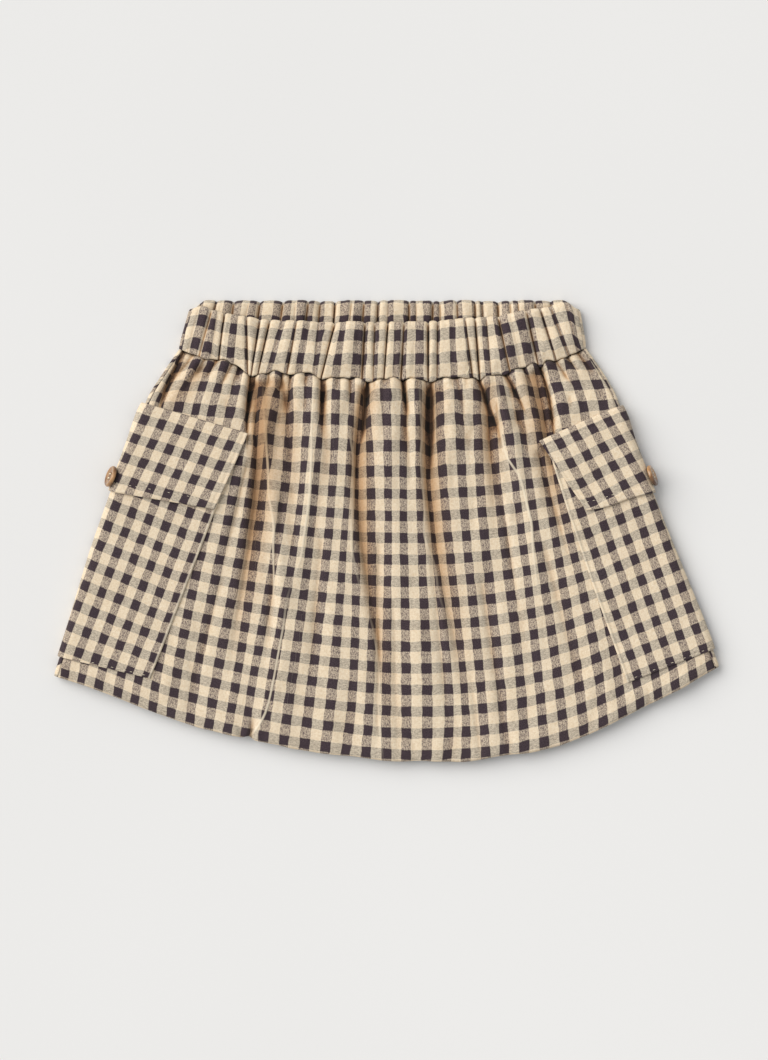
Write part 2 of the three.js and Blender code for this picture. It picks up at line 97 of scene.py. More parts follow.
# Each patch: inner edge at its top and bottom as shares of the half width, then its top and
# bottom edges as shares of the length, at the inner edge and at the fold.
POCKETS = {-1: (0.622, 0.732, 0.215, 0.215, 0.914, 0.942), 1: (0.7, 0.748, 0.245, 0.245, 0.917, 0.946)}
FLAPS = {-1: (0.59, 0.655, 0.167, 0.168, 0.394, 0.438), 1: (0.668, 0.775, 0.2, 0.183, 0.425, 0.46)}
POCKET_SEAMS, FLAP_SEAMS = (1.5, 1.3, 1.6), (4.8, 4.6, 1.6)  # from the top, bottom and inner edges
BUTTONS = {-1: (0.398, 22), 1: (0.41, 14)}  # down, and how far it leans in degrees
BUTTON_THICK, BUTTON_GAP = 2.2, 0.35
HOLE_PLACE, HOLE_RADIUS, HOLE_DEPTH = 1.13, 0.62, 1.2
RUNNING_STITCH = (1.7, 1.7, 0.12)  # length, gap and radius

# Long folds of the front: where they run (share of the half width at four heights), height above
# the loft, widths of the left and right slopes, and how far down they reach. The third and fourth
# differ from the solids' ones: a scratch program gave their places, from points picked by eye.
FOLDS = [
    ((-0.625, -0.52, -0.505, -0.49), -3.6, 2.6, 7.5, 0.95),
    ((-0.5, -0.377, -0.37, -0.37), -1.8, 5, 5, 0.5),
    ((-0.085, -0.106, -0.03, 0), -3.2, 3, 6.5, 1.1),
    ((0.232, 0.187, 0.235, 0.25), -3.1, 3, 7, 1.0),
    ((0.506, 0.447, 0.43, 0.43), -2.4, 4, 5, 0.5),
    ((0.75, 0.695, 0.71, 0.72), -3.1, 6, 2.6, 0.6),
    ((-0.86, -0.95, -0.99, -0.99), -1.8, 4, 5, 0.26),
    ((-0.6, -0.455, -0.36, -0.4), 1.7, 3, 4, 1.3),
    ((-0.33, -0.305, -0.34, -0.38), 1.6, 4, 3.4, 0.9),
    ((0.5, 0.57, 0.53, 0.52), 1.6, 4, 4, 0.8),
    ((0.02, 0.03, 0.06, 0.08), 1.2, 9, 9, 0.9),
]

# Folds and creases
# Short creases of the front: share of the half width at the start and the end, from
# and to (shares of the length), depth, and the widths of the left and right slopes.
CREASES = [
    (-0.985, -0.93, 0.0, 0.24, 3.0, 1.3, 2.2), (-0.93, -0.955, 0.0, 0.1, 1.6, 1.5, 2.0),
    (-0.877, -0.9, 0.0, 0.1, 1.8, 1.5, 2.0), (-0.812, -0.83, 0.0, 0.07, 1.4, 1.5, 2.0),
    (-0.743, -0.755, 0.0, 0.09, 2.0, 1.4, 1.8), (-0.7, -0.69, 0.0, 0.05, 1.2, 1.4, 1.6),
    (-0.655, -0.56, 0.0, 0.27, 4.0, 1.1, 2.2), (-0.565, -0.54, 0.0, 0.05, 1.2, 1.2, 1.5),
    (-0.491, -0.5, 0.0, 0.09, 2.2, 1.3, 2.0), (-0.452, -0.43, 0.0, 0.12, 1.9, 1.3, 2.0),
    (-0.378, -0.38, 0.0, 0.04, 0.9, 1.4, 1.6), (-0.304, -0.28, 0.0, 0.17, 3.0, 1.4, 2.6),
    (-0.225, -0.22, 0.0, 0.04, 0.9, 1.6, 1.6), (-0.163, -0.15, 0.0, 0.08, 1.8, 1.4, 2.0),
    (-0.075, -0.108, 0.0, 0.26, 3.2, 1.3, 2.4), (-0.042, -0.03, 0.0, 0.04, 1.2, 1.2, 1.4),
    (0.027, 0.03, 0.0, 0.035, 0.8, 1.4, 1.4), (0.096, 0.115, 0.0, 0.1, 2.6, 1.3, 1.8),
    (0.175, 0.16, 0.0, 0.04, 0.9, 1.4, 1.6), (0.24, 0.19, 0.0, 0.3, 3.6, 1.4, 2.8),
    (0.343, 0.34, 0.0, 0.035, 0.7, 1.6, 1.6), (0.412, 0.4, 0.0, 0.04, 0.8, 1.5, 1.6),
    (0.481, 0.52, 0.0, 0.16, 2.6, 2.2, 1.3), (0.541, 0.5, 0.03, 0.26, 1.6, 2.2, 1.5),
    (0.61, 0.66, 0.0, 0.16, 2.2, 1.5, 1.8), (0.699, 0.71, 0.0, 0.06, 1.4, 1.4, 1.6),
    (0.782, 0.705, 0.0, 0.32, 4.2, 1.8, 1.1), (0.857, 0.87, 0.0, 0.09, 1.8, 1.4, 1.6),
    (0.906, 0.925, 0.0, 0.06, 1.4, 1.4, 1.6), (0.96, 0.97, 0.0, 0.08, 1.6, 1.4, 1.6),
    (-0.41, -0.395, 0.3, 0.9, 1.3, 1.6, 2.4), (-0.34, -0.385, 0.6, 1.1, 0.8, 1.0, 1.8),
    (0.48, 0.47, 0.2, 0.75, 1.2, 2.0, 1.6), (-0.02, -0.03, 0.4, 1.1, 1.6, 1.8, 2.6),
    (0.18, 0.2, 0.4, 1.1, 1.2, 2.2, 2.0), (-0.405, -0.425, 0.93, 1.2, 2.4, 1.2, 1.6),
    (-0.44, -0.45, 0.95, 1.2, 1.2, 1.2, 1.4), (0.8, 0.775, 0.93, 1.15, 0.9, 1.4, 1.8),
    (0.655, 0.685, 0.19, 0.62, 2.8, 3.2, 2.4), (0.03, 0.035, 0.55, 1.1, 0.9, 1.8, 2.2),
    (0.355, 0.37, 0.5, 1.2, 1.1, 2.0, 3.0), (0.28, 0.29, 0.75, 1.3, 0.8, 1.6, 2.0),
    (-0.24, -0.25, 0.4, 0.95, 0.8, 2.0, 2.6), (0.6, 0.62, 0.45, 1.0, 0.8, 2.0, 2.0),
    (-0.58, -0.62, 0.55, 1.1, 0.8, 1.6, 2.2), (-0.572, -0.59, 0.21, 0.62, 1.8, 1.2, 3.2),
]
# Soft ridges between them, in the same columns, with height in place of depth.
RIDGES = [
    (-0.56, -0.5, 0.02, 0.4, 1.6, 3.0, 4.0),
    (-0.395, -0.36, 0.01, 0.3, 1.4, 4.0, 4.5),
    (-0.22, -0.2, 0.01, 0.35, 1.3, 4.0, 3.6),
    (-0.115, -0.08, 0.02, 0.35, 1.2, 2.2, 3.0),
    (0.02, 0.03, 0.0, 0.3, 1.0, 6.0, 6.0),
    (0.17, 0.13, 0.0, 0.32, 1.3, 4.0, 2.6),
    (0.31, 0.26, 0.01, 0.4, 1.4, 3.4, 6.0),
    (0.56, 0.56, 0.01, 0.4, 1.3, 3.0, 3.6),
    (0.69, 0.655, 0.0, 0.3, 1.4, 3.4, 3.0),
]
# Creases of the front waistband: share of the half width at the top and at the seam, depth, width.
BAND_CREASES = [
    (-0.96, -0.965, 0.9, 2.2), (-0.893, -0.905, 1.8, 1.3), (-0.86, -0.845, 0.8, 1.8),
    (-0.826, -0.807, 2.6, 0.8), (-0.758, -0.738, 0.8, 1.8), (-0.712, -0.665, 1.9, 1.0),
    (-0.644, -0.649, 2.2, 0.9), (-0.593, -0.615, 2.4, 0.9), (-0.525, -0.565, 0.9, 1.8),
    (-0.453, -0.472, 2.0, 1.0), (-0.391, -0.407, 0.7, 2.0), (-0.339, -0.338, 0.9, 1.6),
    (-0.256, -0.304, 3.2, 0.8), (-0.205, -0.22, 0.6, 2.0), (-0.101, -0.101, 3.2, 0.8),
    (-0.05, -0.047, 1.8, 0.9), (0.018, 0.007, 3.0, 0.8), (0.059, 0.057, 0.7, 1.6),
    (0.101, 0.091, 2.8, 0.8), (0.158, 0.156, 0.6, 1.8), (0.225, 0.225, 3.2, 0.8),
    (0.275, 0.269, 1.8, 1.0), (0.349, 0.353, 0.7, 1.8), (0.416, 0.445, 2.0, 1.0),
    (0.468, 0.481, 2.8, 0.8), (0.525, 0.536, 1.2, 1.3), (0.587, 0.63, 2.8, 0.8), (0.644, 0.684, 0.8, 1.8),
    (0.732, 0.768, 2.6, 0.8), (0.804, 0.857, 1.9, 1.1), (0.856, 0.92, 1.4, 1.6), (0.935, 0.965, 1.0, 1.8),
]
# Creases on the inside of the back waistband, in the same columns.
BACK_CREASES = [
    (-0.95, -0.94, 1.5, 1.2), (-0.87, -0.88, 2.0, 1.0), (-0.78, -0.77, 2.4, 1.0), (-0.7, -0.72, 1.0, 1.6),
    (-0.645, -0.64, 2.6, 0.9), (-0.525, -0.53, 2.2, 1.0), (-0.46, -0.45, 1.0, 1.5),
    (-0.395, -0.4, 2.6, 0.9), (-0.333, -0.33, 1.8, 1.0), (-0.256, -0.25, 3.0, 0.8),
    (-0.17, -0.18, 1.4, 1.3), (-0.106, -0.11, 2.4, 0.9), (-0.034, -0.03, 2.2, 0.9),
    (0.018, 0.02, 1.2, 1.2), (0.127, 0.13, 3.0, 0.9), (0.163, 0.17, 1.2, 1.2), (0.25, 0.245, 2.4, 0.9),
    (0.287, 0.29, 1.4, 1.2), (0.375, 0.38, 2.4, 0.9), (0.468, 0.465, 2.4, 1.0), (0.504, 0.51, 1.4, 1.1),
    (0.587, 0.58, 2.4, 0.9), (0.649, 0.65, 1.6, 1.2), (0.69, 0.69, 1.8, 1.0), (0.778, 0.78, 2.2, 1.0),
    (0.86, 0.86, 1.8, 1.2), (0.94, 0.94, 1.4, 1.4),
]

# Sharp standing creases of the front, as pale lines from left to right. Each row has a place down
# the cloth, the share of the half width there, and how strong the line is. A scratch program worked
# the places and shares out from points picked by eye on the photo.
# the pale lines are painted highlights along the creases' edges
CRESTS = [np.array(line) for line in (
    [(0, -0.59, 0), (0.145, -0.523, 0.5), (0.2, -0.504, 1), (0.267, -0.48, 0.9), (0.335, -0.46, 0.7),
     (0.414, -0.427, 0.9), (0.481, -0.416, 0.9), (0.561, -0.399, 0.8), (0.628, -0.391, 0.2),
     (0.68, -0.395, 0), (1, -0.5, 0)],
    [(0, -0.335, 0), (0.117, -0.324, 0.5), (0.224, -0.309, 0.9), (0.332, -0.303, 0.9),
     (0.414, -0.308, 0.9), (0.49, -0.313, 0.6), (0.55, -0.333, 0.1), (0.609, -0.347, 0.2),
     (0.686, -0.35, 0.8), (0.746, -0.355, 1), (0.862, -0.365, 1), (0.915, -0.374, 1), (0.958, -0.39, 1),
     (1, -0.412, 0.8)],
    [(0, -0.15, 0), (0.12, -0.15, 0), (0.157, -0.147, 0.5), (0.199, -0.136, 0.8), (0.247, -0.13, 0.7),
     (0.345, -0.128, 0.8), (0.393, -0.129, 0.8), (0.454, -0.123, 0.5), (0.519, -0.102, 0.2),
     (0.585, -0.078, 0.1), (0.639, -0.05, 0.2), (0.685, -0.037, 0.5), (0.785, -0.02, 0.7),
     (0.846, -0.024, 0.6), (0.905, -0.02, 0.5), (1, -0.01, 0)],
    [(0, 0.18, 0), (0.092, 0.174, 0.5), (0.141, 0.173, 0.8), (0.193, 0.163, 0.8), (0.245, 0.161, 0.6),
     (0.341, 0.163, 0.7), (0.398, 0.157, 0.6), (0.431, 0.164, 0.6), (0.465, 0.181, 0.4),
     (0.502, 0.191, 0.3), (0.549, 0.195, 0.2), (0.65, 0.219, 0), (1, 0.26, 0)],
    [(0, 0.56, 0), (0.065, 0.548, 0.5), (0.086, 0.535, 0.8), (0.12, 0.528, 0.9), (0.166, 0.526, 0.9),
     (0.213, 0.531, 0.9), (0.245, 0.548, 0.8), (0.27, 0.563, 0.7), (0.306, 0.569, 1), (0.365, 0.572, 1),
     (0.406, 0.573, 1), (0.445, 0.565, 0.9), (0.485, 0.558, 0.8), (0.56, 0.55, 0.4), (0.62, 0.545, 0),
     (1, 0.52, 0)],
)]

# The check
# Where chosen dark stripes of the front run: stripe number, counted from the middle, and share of
# the half width at four heights. Between them the cloth is shared out along its own surface. Most
# numbers of stripes -10 to 12 come from a scratch program's list of the photo's dark squares.
STRIPES = [
    (-18, (-1.2, -1.12, -1.07, -1.02)), (-15, (-0.98, -0.925, -0.89, -0.87)),
    (-14, (-0.91, -0.855, -0.83, -0.81)), (-13, (-0.84, -0.79, -0.775, -0.76)),
    (-12, (-0.775, -0.735, -0.725, -0.705)), (-11, (-0.7, -0.67, -0.665, -0.65)),
    (-10, (-0.635, -0.6, -0.603, -0.592)), (-9, (-0.593, -0.537, -0.535, -0.536)),
    (-8, (-0.505, -0.488, -0.475, -0.48)), (-7, (-0.45, -0.402, -0.416, -0.427)),
    (-6, (-0.365, -0.333, -0.355, -0.37)), (-5, (-0.293, -0.286, -0.296, -0.312)),
    (-4, (-0.232, -0.212, -0.23, -0.248)), (-3, (-0.142, -0.15, -0.164, -0.186)),
    (-2, (-0.095, -0.116, -0.103, -0.126)), (-1, (-0.08, -0.05, -0.047, -0.062)),
    (0, (0.014, 0.02, 0.006, 0)), (1, (0.108, 0.077, 0.07, 0.058)), (2, (0.18, 0.15, 0.139, 0.12)),
    (3, (0.222, 0.185, 0.206, 0.18)), (4, (0.28, 0.25, 0.255, 0.238)), (5, (0.372, 0.325, 0.311, 0.3)),
    (6, (0.465, 0.396, 0.378, 0.354)), (7, (0.515, 0.468, 0.448, 0.415)),
    (8, (0.565, 0.543, 0.51, 0.476)), (9, (0.635, 0.59, 0.565, 0.536)), (10, (0.705, 0.66, 0.63, 0.595)),
    (11, (0.752, 0.7, 0.69, 0.652)), (12, (0.83, 0.77, 0.745, 0.712)), (13, (0.905, 0.84, 0.8, 0.765)),
    (14, (0.98, 0.915, 0.865, 0.82)), (15, (1.06, 0.99, 0.93, 0.87)), (18, (1.3, 1.2, 1.11, 1.03)),
]
STRIPE, ROW, BAND_ROW = 10.3, 11.1, 12.3  # repeat of the check across and along the cloth
# Rows to the whole length of the front, above and below its third dark row, and where that row is
ROWS_ABOVE, ROWS_BELOW, THIRD_ROW = 15.3, 17.68, 0.246
# On a pocket or flap: where one dark stripe and dark row cross, and the steps to the next ones, as
# a scratch program fitted them to the photo's dark squares
PATCH_CHECK = {
    "left_pocket": ((-126.4, -28.2), (8.75, -3.09), (-3.95, -10.33)),
    "left_flap": ((-112.7, 42.2), (8.82, -2.66), (-4.74, -10.11)),
    "right_pocket": ((132.6, -25.6), (8.57, 3.34), (3.69, -10.61)),
    "right_flap": ((112.5, 43.0), (8.54, 3.66), (5.45, -9.86)),
}


# Small maths on whole arrays
def mix(a, b, t):
    """a + (b - a) t"""
    return a + (b - a) * t


def smooth(t):
    """3 t^2 - 2 t^3, held between 0 and 1"""
    t = np.clip(t, 0, 1)
    return t * t * (3 - 2 * t)


def soft_floor(t, k):
    """(t + sqrt(t^2 + k^2)) / 2: t where it is large, nearly 0 where it is negative"""
    return (t + np.sqrt(t * t + k * k)) / 2


def through(table, at, column=1):
    """Cubic pieces through a table's rows, each slope taken from the two neighbours."""
    x, y = table[:, 0], table[:, column]
    below, above = np.maximum(np.arange(len(x)) - 1, 0), np.minimum(np.arange(len(x)) + 1, len(x) - 1)
    slope = (y[above] - y[below]) / (x[above] - x[below])
    i = np.clip(np.searchsorted(x, at, side="left") - 1, 0, len(x) - 2)
    step = x[i + 1] - x[i]
    t = np.clip((at - x[i]) / step, 0, 1)
    ends = y[i] * (2 * t**3 - 3 * t**2 + 1) + y[i + 1] * (3 * t**2 - 2 * t**3)
    return ends + step * (slope[i] * (t**3 - 2 * t**2 + t) + slope[i + 1] * (t**3 - t**2))


def four_point(values, t):
    """The cubic through four values at 0, 1/3, 2/3 and 1"""
    a, b, c, d = values
    p, q, r, s = t * 3, t * 3 - 1, t * 3 - 2, t * 3 - 3
    return -a * q * r * s / 6 + b * p * r * s / 2 - c * p * q * s / 2 + d * p * q * r / 6


def unit(vectors):
    """Each vector made 1 long"""
    return vectors / np.maximum(np.linalg.norm(vectors, axis=-1, keepdims=True), 1e-9)


def rumple(a, b, seed):
    """Smooth noise from -1 to 1: seeded values at whole numbers of a and b, blended by smooth()."""
    values = np.random.default_rng(seed).uniform(-1, 1, (64, 64))
    i, j = np.floor(a).astype(int), np.floor(b).astype(int)
    s, t = smooth(a - i), smooth(b - j)
    at = lambda m, n: values[(i + m) % 64, (j + n) % 64]
    return mix(mix(at(0, 0), at(1, 0), s), mix(at(0, 1), at(1, 1), s), t)


# The tube
def half_width(down):
    """From the middle to a side fold: a straight blend from the waist to the hem"""
    return mix(WAIST_RIGHT - WAIST_LEFT, HEM_RIGHT - HEM_LEFT, down) / 2


def plan(u, down, back):
    """x and y: the straight blend from the waist seam to the hem, plus the sides' bow times |u|^3."""
    share = (u + 1) / 2
    side_y = np.where(u < 0, WAIST_SEAM[0, 1], WAIST_SEAM[-1, 1])
    waist_y = np.where(back, mix(WAIST_BACK_Y, side_y, u * u), through(WAIST_SEAM, share))
    hem_y = through(HEM_LINE, share) + np.where(back, BACK_HEM_UP * (1 - u * u), hem_wave(u))
    waist_y = waist_y + np.where(back, 0, seam_wave(u) * np.exp(-down * LENGTH / SEAM_WAVE_REACH))
    bow = np.where(u < 0, -through(SIDE_BOW, down, 1), through(SIDE_BOW, down, 2))
    x = mix(mix(WAIST_LEFT, WAIST_RIGHT, share), mix(HEM_LEFT, HEM_RIGHT, share), down)
    return x + bow * np.abs(u) ** BOW_POWER, mix(waist_y, hem_y, down)


def seam_wave(u):
    """How far the waist seam is pushed up by the puffs and pulled down in the creases, in mm"""
    pull = sum(0.75 * depth * np.exp(-(((u - at) * WAIST_HALF / (1.6 * right)) ** 2))
               for at, _, start, _, depth, _, right in CREASES if start == 0)
    return (1 - smooth((np.abs(u) - 0.9) / 0.08)) * (1.4 + 0.8 * rumple(u * 14 + 30, 0 * u, 41) - pull)


def hem_wave(u):
    """How far the front's hem waves up and down in mm, with a small notch at the long crease"""
    at, high, wide = HEM_NOTCH
    wave = 0.55 * rumple(u * 9 + 30, 0 * u, 61) + 0.3 * rumple(u * 21 + 30, 0 * u, 62)
    notch = high * np.exp(-(((u - at) * HEM_HALF / wide) ** 2))
    return (1 - smooth((np.abs(u) - 0.85) / 0.1)) * (wave + notch)


def beyond(u, down, patches):
    """How far in millimetres a place lies outside the outline of a patch, negative inside."""
    pick = lambda k: np.where(u < 0, patches[-1][k], patches[1][k])
    in_top, in_bottom, top_in, top_out, bottom_in, bottom_out = map(pick, range(6))
    near = np.abs(u)
    top = mix(top_in, top_out, np.clip((near - in_top) / (1 - in_top), 0, 1))
    bottom = mix(bottom_in, bottom_out, np.clip((near - in_bottom) / (1 - in_bottom), 0, 1))
    inner = mix(in_top, in_bottom, np.clip((down - top_in) / (bottom_in - top_in), 0, 1))
    above, below = (top - down) * LENGTH, (down - bottom) * LENGTH
    return np.maximum((inner - near) * half_width(down), np.maximum(above, below))


def cover(u, down, patches):
    """1 over a patch, down to 0 within a step's width outside it"""
    return 1 - smooth((beyond(u, down, patches) - STEP_FROM) / STEP_WIDTH)


def back_z(u, down):
    """The middle of the back panel: on the table, or on the back halves of a pocket and its flap."""
    return CLOTH / 2 + LAYER * (cover(u, down, POCKETS) + cover(u, down, FLAPS))


def gather_phase(u):
    """2 pi for each gather across the front, unevenly spaced"""
    return 2 * PI * (GATHERS * (u + 1) / 2 + 0.33 * np.sin(5.1 * u + 1) + 0.2 * np.sin(13.7 * u + 2))


def gather_shape(phase):
    """A round ridge between two sharp valleys: sqrt(sin^2(phase / 2) + 0.02)"""
    return np.sqrt(np.sin(phase / 2) ** 2 + 0.02)


def bumps(table, u, down, power=2):
    """The sum of listed creases: height x exp(-|off / width|^power), where off is the distance
    from the crease's line, growing at its start and fading out from 3/8 of its length on."""
    total = np.zeros(np.broadcast(u, down).shape)
    for at, end, start, stop, height, left, right in table:
        t = (down - start) / (stop - start)
        off = (u - mix(at, end, t)) * half_width(down)
        along = (smooth((down - start) / 0.06) if start > 0 else 1) * (1 - smooth(1.6 * t - 0.6))
        total = total + height * along * np.exp(-np.abs(off / np.where(off < 0, left, right)) ** power)
    return total


def fold_along(down, ends):
    """A long fold's share of its height: it grows below the waist seam and fades towards its end."""
    return smooth(down / 0.03) * (1 - smooth((down / ends - 0.25) / 0.75))


def fold_slope(u, down, fold, share, power):
    """fold_along() x exp(-|off / (share x width)|^power), with the width of its left or right slope"""
    across, _, left, right, ends = fold
    off = (u - four_point(across, down)) * half_width(down)
    return fold_along(down, ends) * np.exp(-np.abs(off / (share * np.where(off < 0, left, right))) ** power)


def fold_height(u, down):
    """The long folds of the solids, two of them moved. A valley is drawn sharper here: height x
    exp(-|off / width|^1.4) with about three quarters of the width."""
    total = np.zeros(np.broadcast(u, down).shape)
    for fold in FOLDS:
        height = fold[1]
        share, power = (0.72, 1.4) if height < 0 else (1, 2)
        total = total + height * fold_slope(u, down, fold, share, power)
    return total


def gather_height(u, down):
    """The gathers below the waist seam: uneven ridges that fade down the cloth, soonest at the sides"""
    uneven = 1 + 0.3 * np.sin(7.3 * u + 0.5) + 0.2 * np.sin(19 * u + 1.3)
    fade = np.exp(-(down * LENGTH) / (GATHER_FADES * (1 + 0.4 * np.sin(11 * u))))
    side = 1 - smooth((down - 0.1) / 0.06) * smooth((np.abs(u) - 0.5) / 0.1)
    return GATHER_HEIGHT * uneven * fade * side * (gather_shape(gather_phase(u)) - 0.6)


def front_relief(u, down):
    """The front's folds above the plain loft: long folds, gathers, ridges and rumples, less the
    creases and the hollow along the waist seam. Only hollows go on under a patch."""
    outside = np.minimum(beyond(u, down, POCKETS), beyond(u, down, FLAPS))
    bare = smooth((outside - 1) / 9)
    x, y = u * half_width(down), down * LENGTH
    near_waist = np.exp(-((y / 55) ** 2))
    rumples = 0.65 * rumple(x / 9 + 20, y / 34 + 3, 5) + 0.3 * rumple(x / 4.6 + 9, y / 15 + 30, 6)
    rumples = rumples + (0.15 + 0.55 * near_waist) * rumple(x / 3.6 + 31, y / 8 + 12, 7)
    calm = 1 - smooth((np.abs(u) - 0.9) / 0.06)
    folds = 1.3 * fold_height(u, down) + 0.8 * gather_height(u, down) + 1.3 * bumps(RIDGES, u, down)
    seam = (2.6 + 0.8 * rumple(x / 6 + 3, 0 * y, 43)) * np.exp(-((y / 0.9) ** 2))
    height = calm * (1.3 + folds + rumples) - 1.2 * bumps(CREASES, u, down, 1.5) - seam
    return np.where(height > 0, height * bare, height)


def front_z(u, down, folded):
    """The middle of the front panel; without folds, the smooth form the patches lie on."""
    edge = smooth((np.abs(u) - 0.5) / 0.45)
    height = mix(through(LOFT, down, 1), through(LOFT, down, 2), edge)
    if folded:
        height = height + (1 - smooth((np.abs(u) - 0.97) / 0.03)) * front_relief(u, down)
    return back_z(u, down) + LAYER + TROUGH_GAP + soft_floor(height, 0.6)


def turn_of(around):
    """u, the share of the half width; level, 1 on the flat and 0 at the fold; and whether it is the
    back. A turn goes by u = 1 - TURN + TURN sin(angle) and level = cos(angle)."""
    wrapped = np.where(around > 2, around - 4, np.where(around < -2, around + 4, around))
    back = np.abs(wrapped) > 1
    near = np.where(back, 2 - np.abs(wrapped), np.abs(wrapped))
    angle = np.clip((near - FLAT) / TURN_SHARE, 0, 1) * PI / 2
    u = np.where(near <= FLAT, near / FLAT * (1 - TURN), 1 - TURN + TURN * np.sin(angle))
    return np.sign(wrapped) * u, np.cos(angle), back


def tube(around, down, folded=True):
    """A point of the cloth's middle: plan() gives x and y, and z goes from the back's height to
    the front's with the level of the turn."""
    u, level, back = turn_of(around)
    x, y = plan(u, down, back)
    low, high = back_z(u, down), front_z(u, down, folded)
    return np.stack([x, y, (low + high) / 2 + np.where(back, -level, level) * (high - low) / 2], -1)


def normals_of(points):
    """Outward normals: the step down the grid crossed with the step along it."""
    return unit(np.cross(np.gradient(points, axis=0), np.gradient(points, axis=1)))


def tube_normal(around, down):
    """The outward normal of the plain tube, from small steps both ways"""
    step = 1e-3
    along = tube(around + step, down, False) - tube(around - step, down, False)
    drop = tube(around, down + step, False) - tube(around, down - step, False)
    return unit(np.cross(drop, along))


def arc_along(points):
    """Distance along each row of the grid, in space, from its first point"""
    step = np.linalg.norm(np.diff(points, axis=1), axis=-1)
    return np.concatenate([np.zeros((len(points), 1)), np.cumsum(step, axis=1)], axis=1)


# Meshes
def add_mesh(name, points, faces, cloth=None, marks=None, material=None, smooth_faces=True):
    """A mesh object at the origin, from an array of points and a list of faces. cloth is a UV for
    each point: stripe and row numbers of the check. marks are further numbers for each point: deep
    says how far down in a fold it lies, 0 to 1, and sets the painted shade there; crest is 10 + its
    distance in millimetres from a sharp standing crease, and crest_strong says how strongly the
    painted highlight and the bump along that crease show, 0 to 1."""
    mesh = bpy.data.meshes.new(name)
    mesh.from_pydata((points * MM).tolist(), [], faces)
    if cloth is not None:
        corner = np.empty(len(mesh.loops), dtype=np.int32)
        mesh.loops.foreach_get("vertex_index", corner)
        layer = mesh.uv_layers.new(name="cloth")
        layer.data.foreach_set("uv", cloth[corner].astype(np.float32).ravel())
    for key, values in (marks or {}).items():
        field = mesh.attributes.new(key, "FLOAT", "POINT")
        field.data.foreach_set("value", values.astype(np.float32).ravel())
    mesh.polygons.foreach_set("use_smooth", np.full(len(mesh.polygons), smooth_faces))
    mesh.update()
    piece = bpy.data.objects.new(name, mesh)
    bpy.context.scene.collection.objects.link(piece)
    if material:
        mesh.materials.append(material)
    return piece


def grid_faces(rows, columns, start=0, flip=False):
    """The quads of a grid of rows by columns of points, numbered from start."""
    r, c = np.meshgrid(np.arange(rows - 1), np.arange(columns - 1), indexing="ij")
    a = start + r * columns + c
    quads = np.stack([a, a + columns, a + columns + 1, a + 1], -1).reshape(-1, 4)
    return quads[:, ::-1] if flip else quads


def closed_sheet(name, outer, inner, cloth, marks, material):
    """A closed thin shell between two grids, joined all round by a rim."""
    rows, columns = outer.shape[:2]
    count = rows * columns
    at = lambda r, c: r * columns + c
    r, c = np.arange(rows - 1), np.arange(columns - 1)
    ends = [
        (at(0, c), at(0, c + 1)),
        (at(rows - 1, c + 1), at(rows - 1, c)),
        (at(r + 1, 0), at(r, 0)),
        (at(r, columns - 1), at(r + 1, columns - 1)),
    ]
    rim = np.concatenate([np.stack([a, b, b + count, a + count], -1) for a, b in ends])
    faces = np.concatenate([grid_faces(rows, columns), grid_faces(rows, columns, count, True), rim])
    points = np.concatenate([outer.reshape(-1, 3), inner.reshape(-1, 3)])
    twice = lambda field: np.concatenate([field.reshape(count, -1)] * 2)
    marks = {key: twice(values) for key, values in marks.items()}
    return add_mesh(name, points, faces.tolist(), twice(cloth), marks, material)


def shell(middle, outside, inside):
    """Two faces of a cloth: the middle moved out and in along its normals, never below the table."""
    normal = normals_of(middle)
    outer = middle + normal * outside[..., None]
    inner = middle - normal * inside[..., None]
    outer[..., 2] = np.maximum(outer[..., 2], 0)
    inner[..., 2] = np.maximum(inner[..., 2], 0)
    return outer, inner


def rounded(distance, reach=1.1, least=0.35):
    """Share of a cloth's thickness near its edge: a quarter of a circle over reach millimetres."""
    t = np.clip(distance / reach, 0, 1)
    return least + (1 - least) * np.sqrt(1 - (1 - t) ** 2)


def spread(length, fine, coarse, near, far=None):
    """Places from 0 to length whose spacing goes from fine at the ends to coarse between: steps
    of size fine within near of the start (and far of the end), coarse elsewhere."""
    far = near if far is None else far
    t = np.linspace(0, length, 4001)
    at_start = 1 - smooth((t - near) / near)
    at_end = 1 - smooth((length - t - far) / far) if far else 0
    size = mix(coarse, fine, np.maximum(at_start, at_end))
    count = np.concatenate([[0], np.cumsum(1 / size[1:]) * (t[1] - t[0])])
    return np.interp(np.linspace(0, count[-1], int(np.ceil(count[-1])) + 1), count, t)


# Materials
def math_node(operation, reflected=False):
    """A method that adds one Math node; reflected, its own value comes last"""
    def method(self, *others):
        values = (*others, self) if reflected else (self, *others)
        node = self.paint.node("ShaderNodeMath", {"operation": operation}, dict(enumerate(values)))
        return Value(self.paint, node.outputs[0])
    return method


class Value:
    """A number socket that adds Math nodes when it is used in an expression."""

    def __init__(self, paint, socket):
        self.paint, self.socket = paint, socket

    __add__ = __radd__ = math_node("ADD")
    __mul__ = __rmul__ = math_node("MULTIPLY")
    __sub__, __rsub__ = math_node("SUBTRACT"), math_node("SUBTRACT", True)
    __abs__, fract = math_node("ABSOLUTE"), math_node("FRACT")
    floor, sine = math_node("FLOOR"), math_node("SINE")

    def between(self, low, high):
        """The value's way from low to high, held between 0 and 1"""
        node = self.paint.node("ShaderNodeMapRange", {"clamp": True}, {0: self, 1: low, 2: high})
        return Value(self.paint, node.outputs[0])


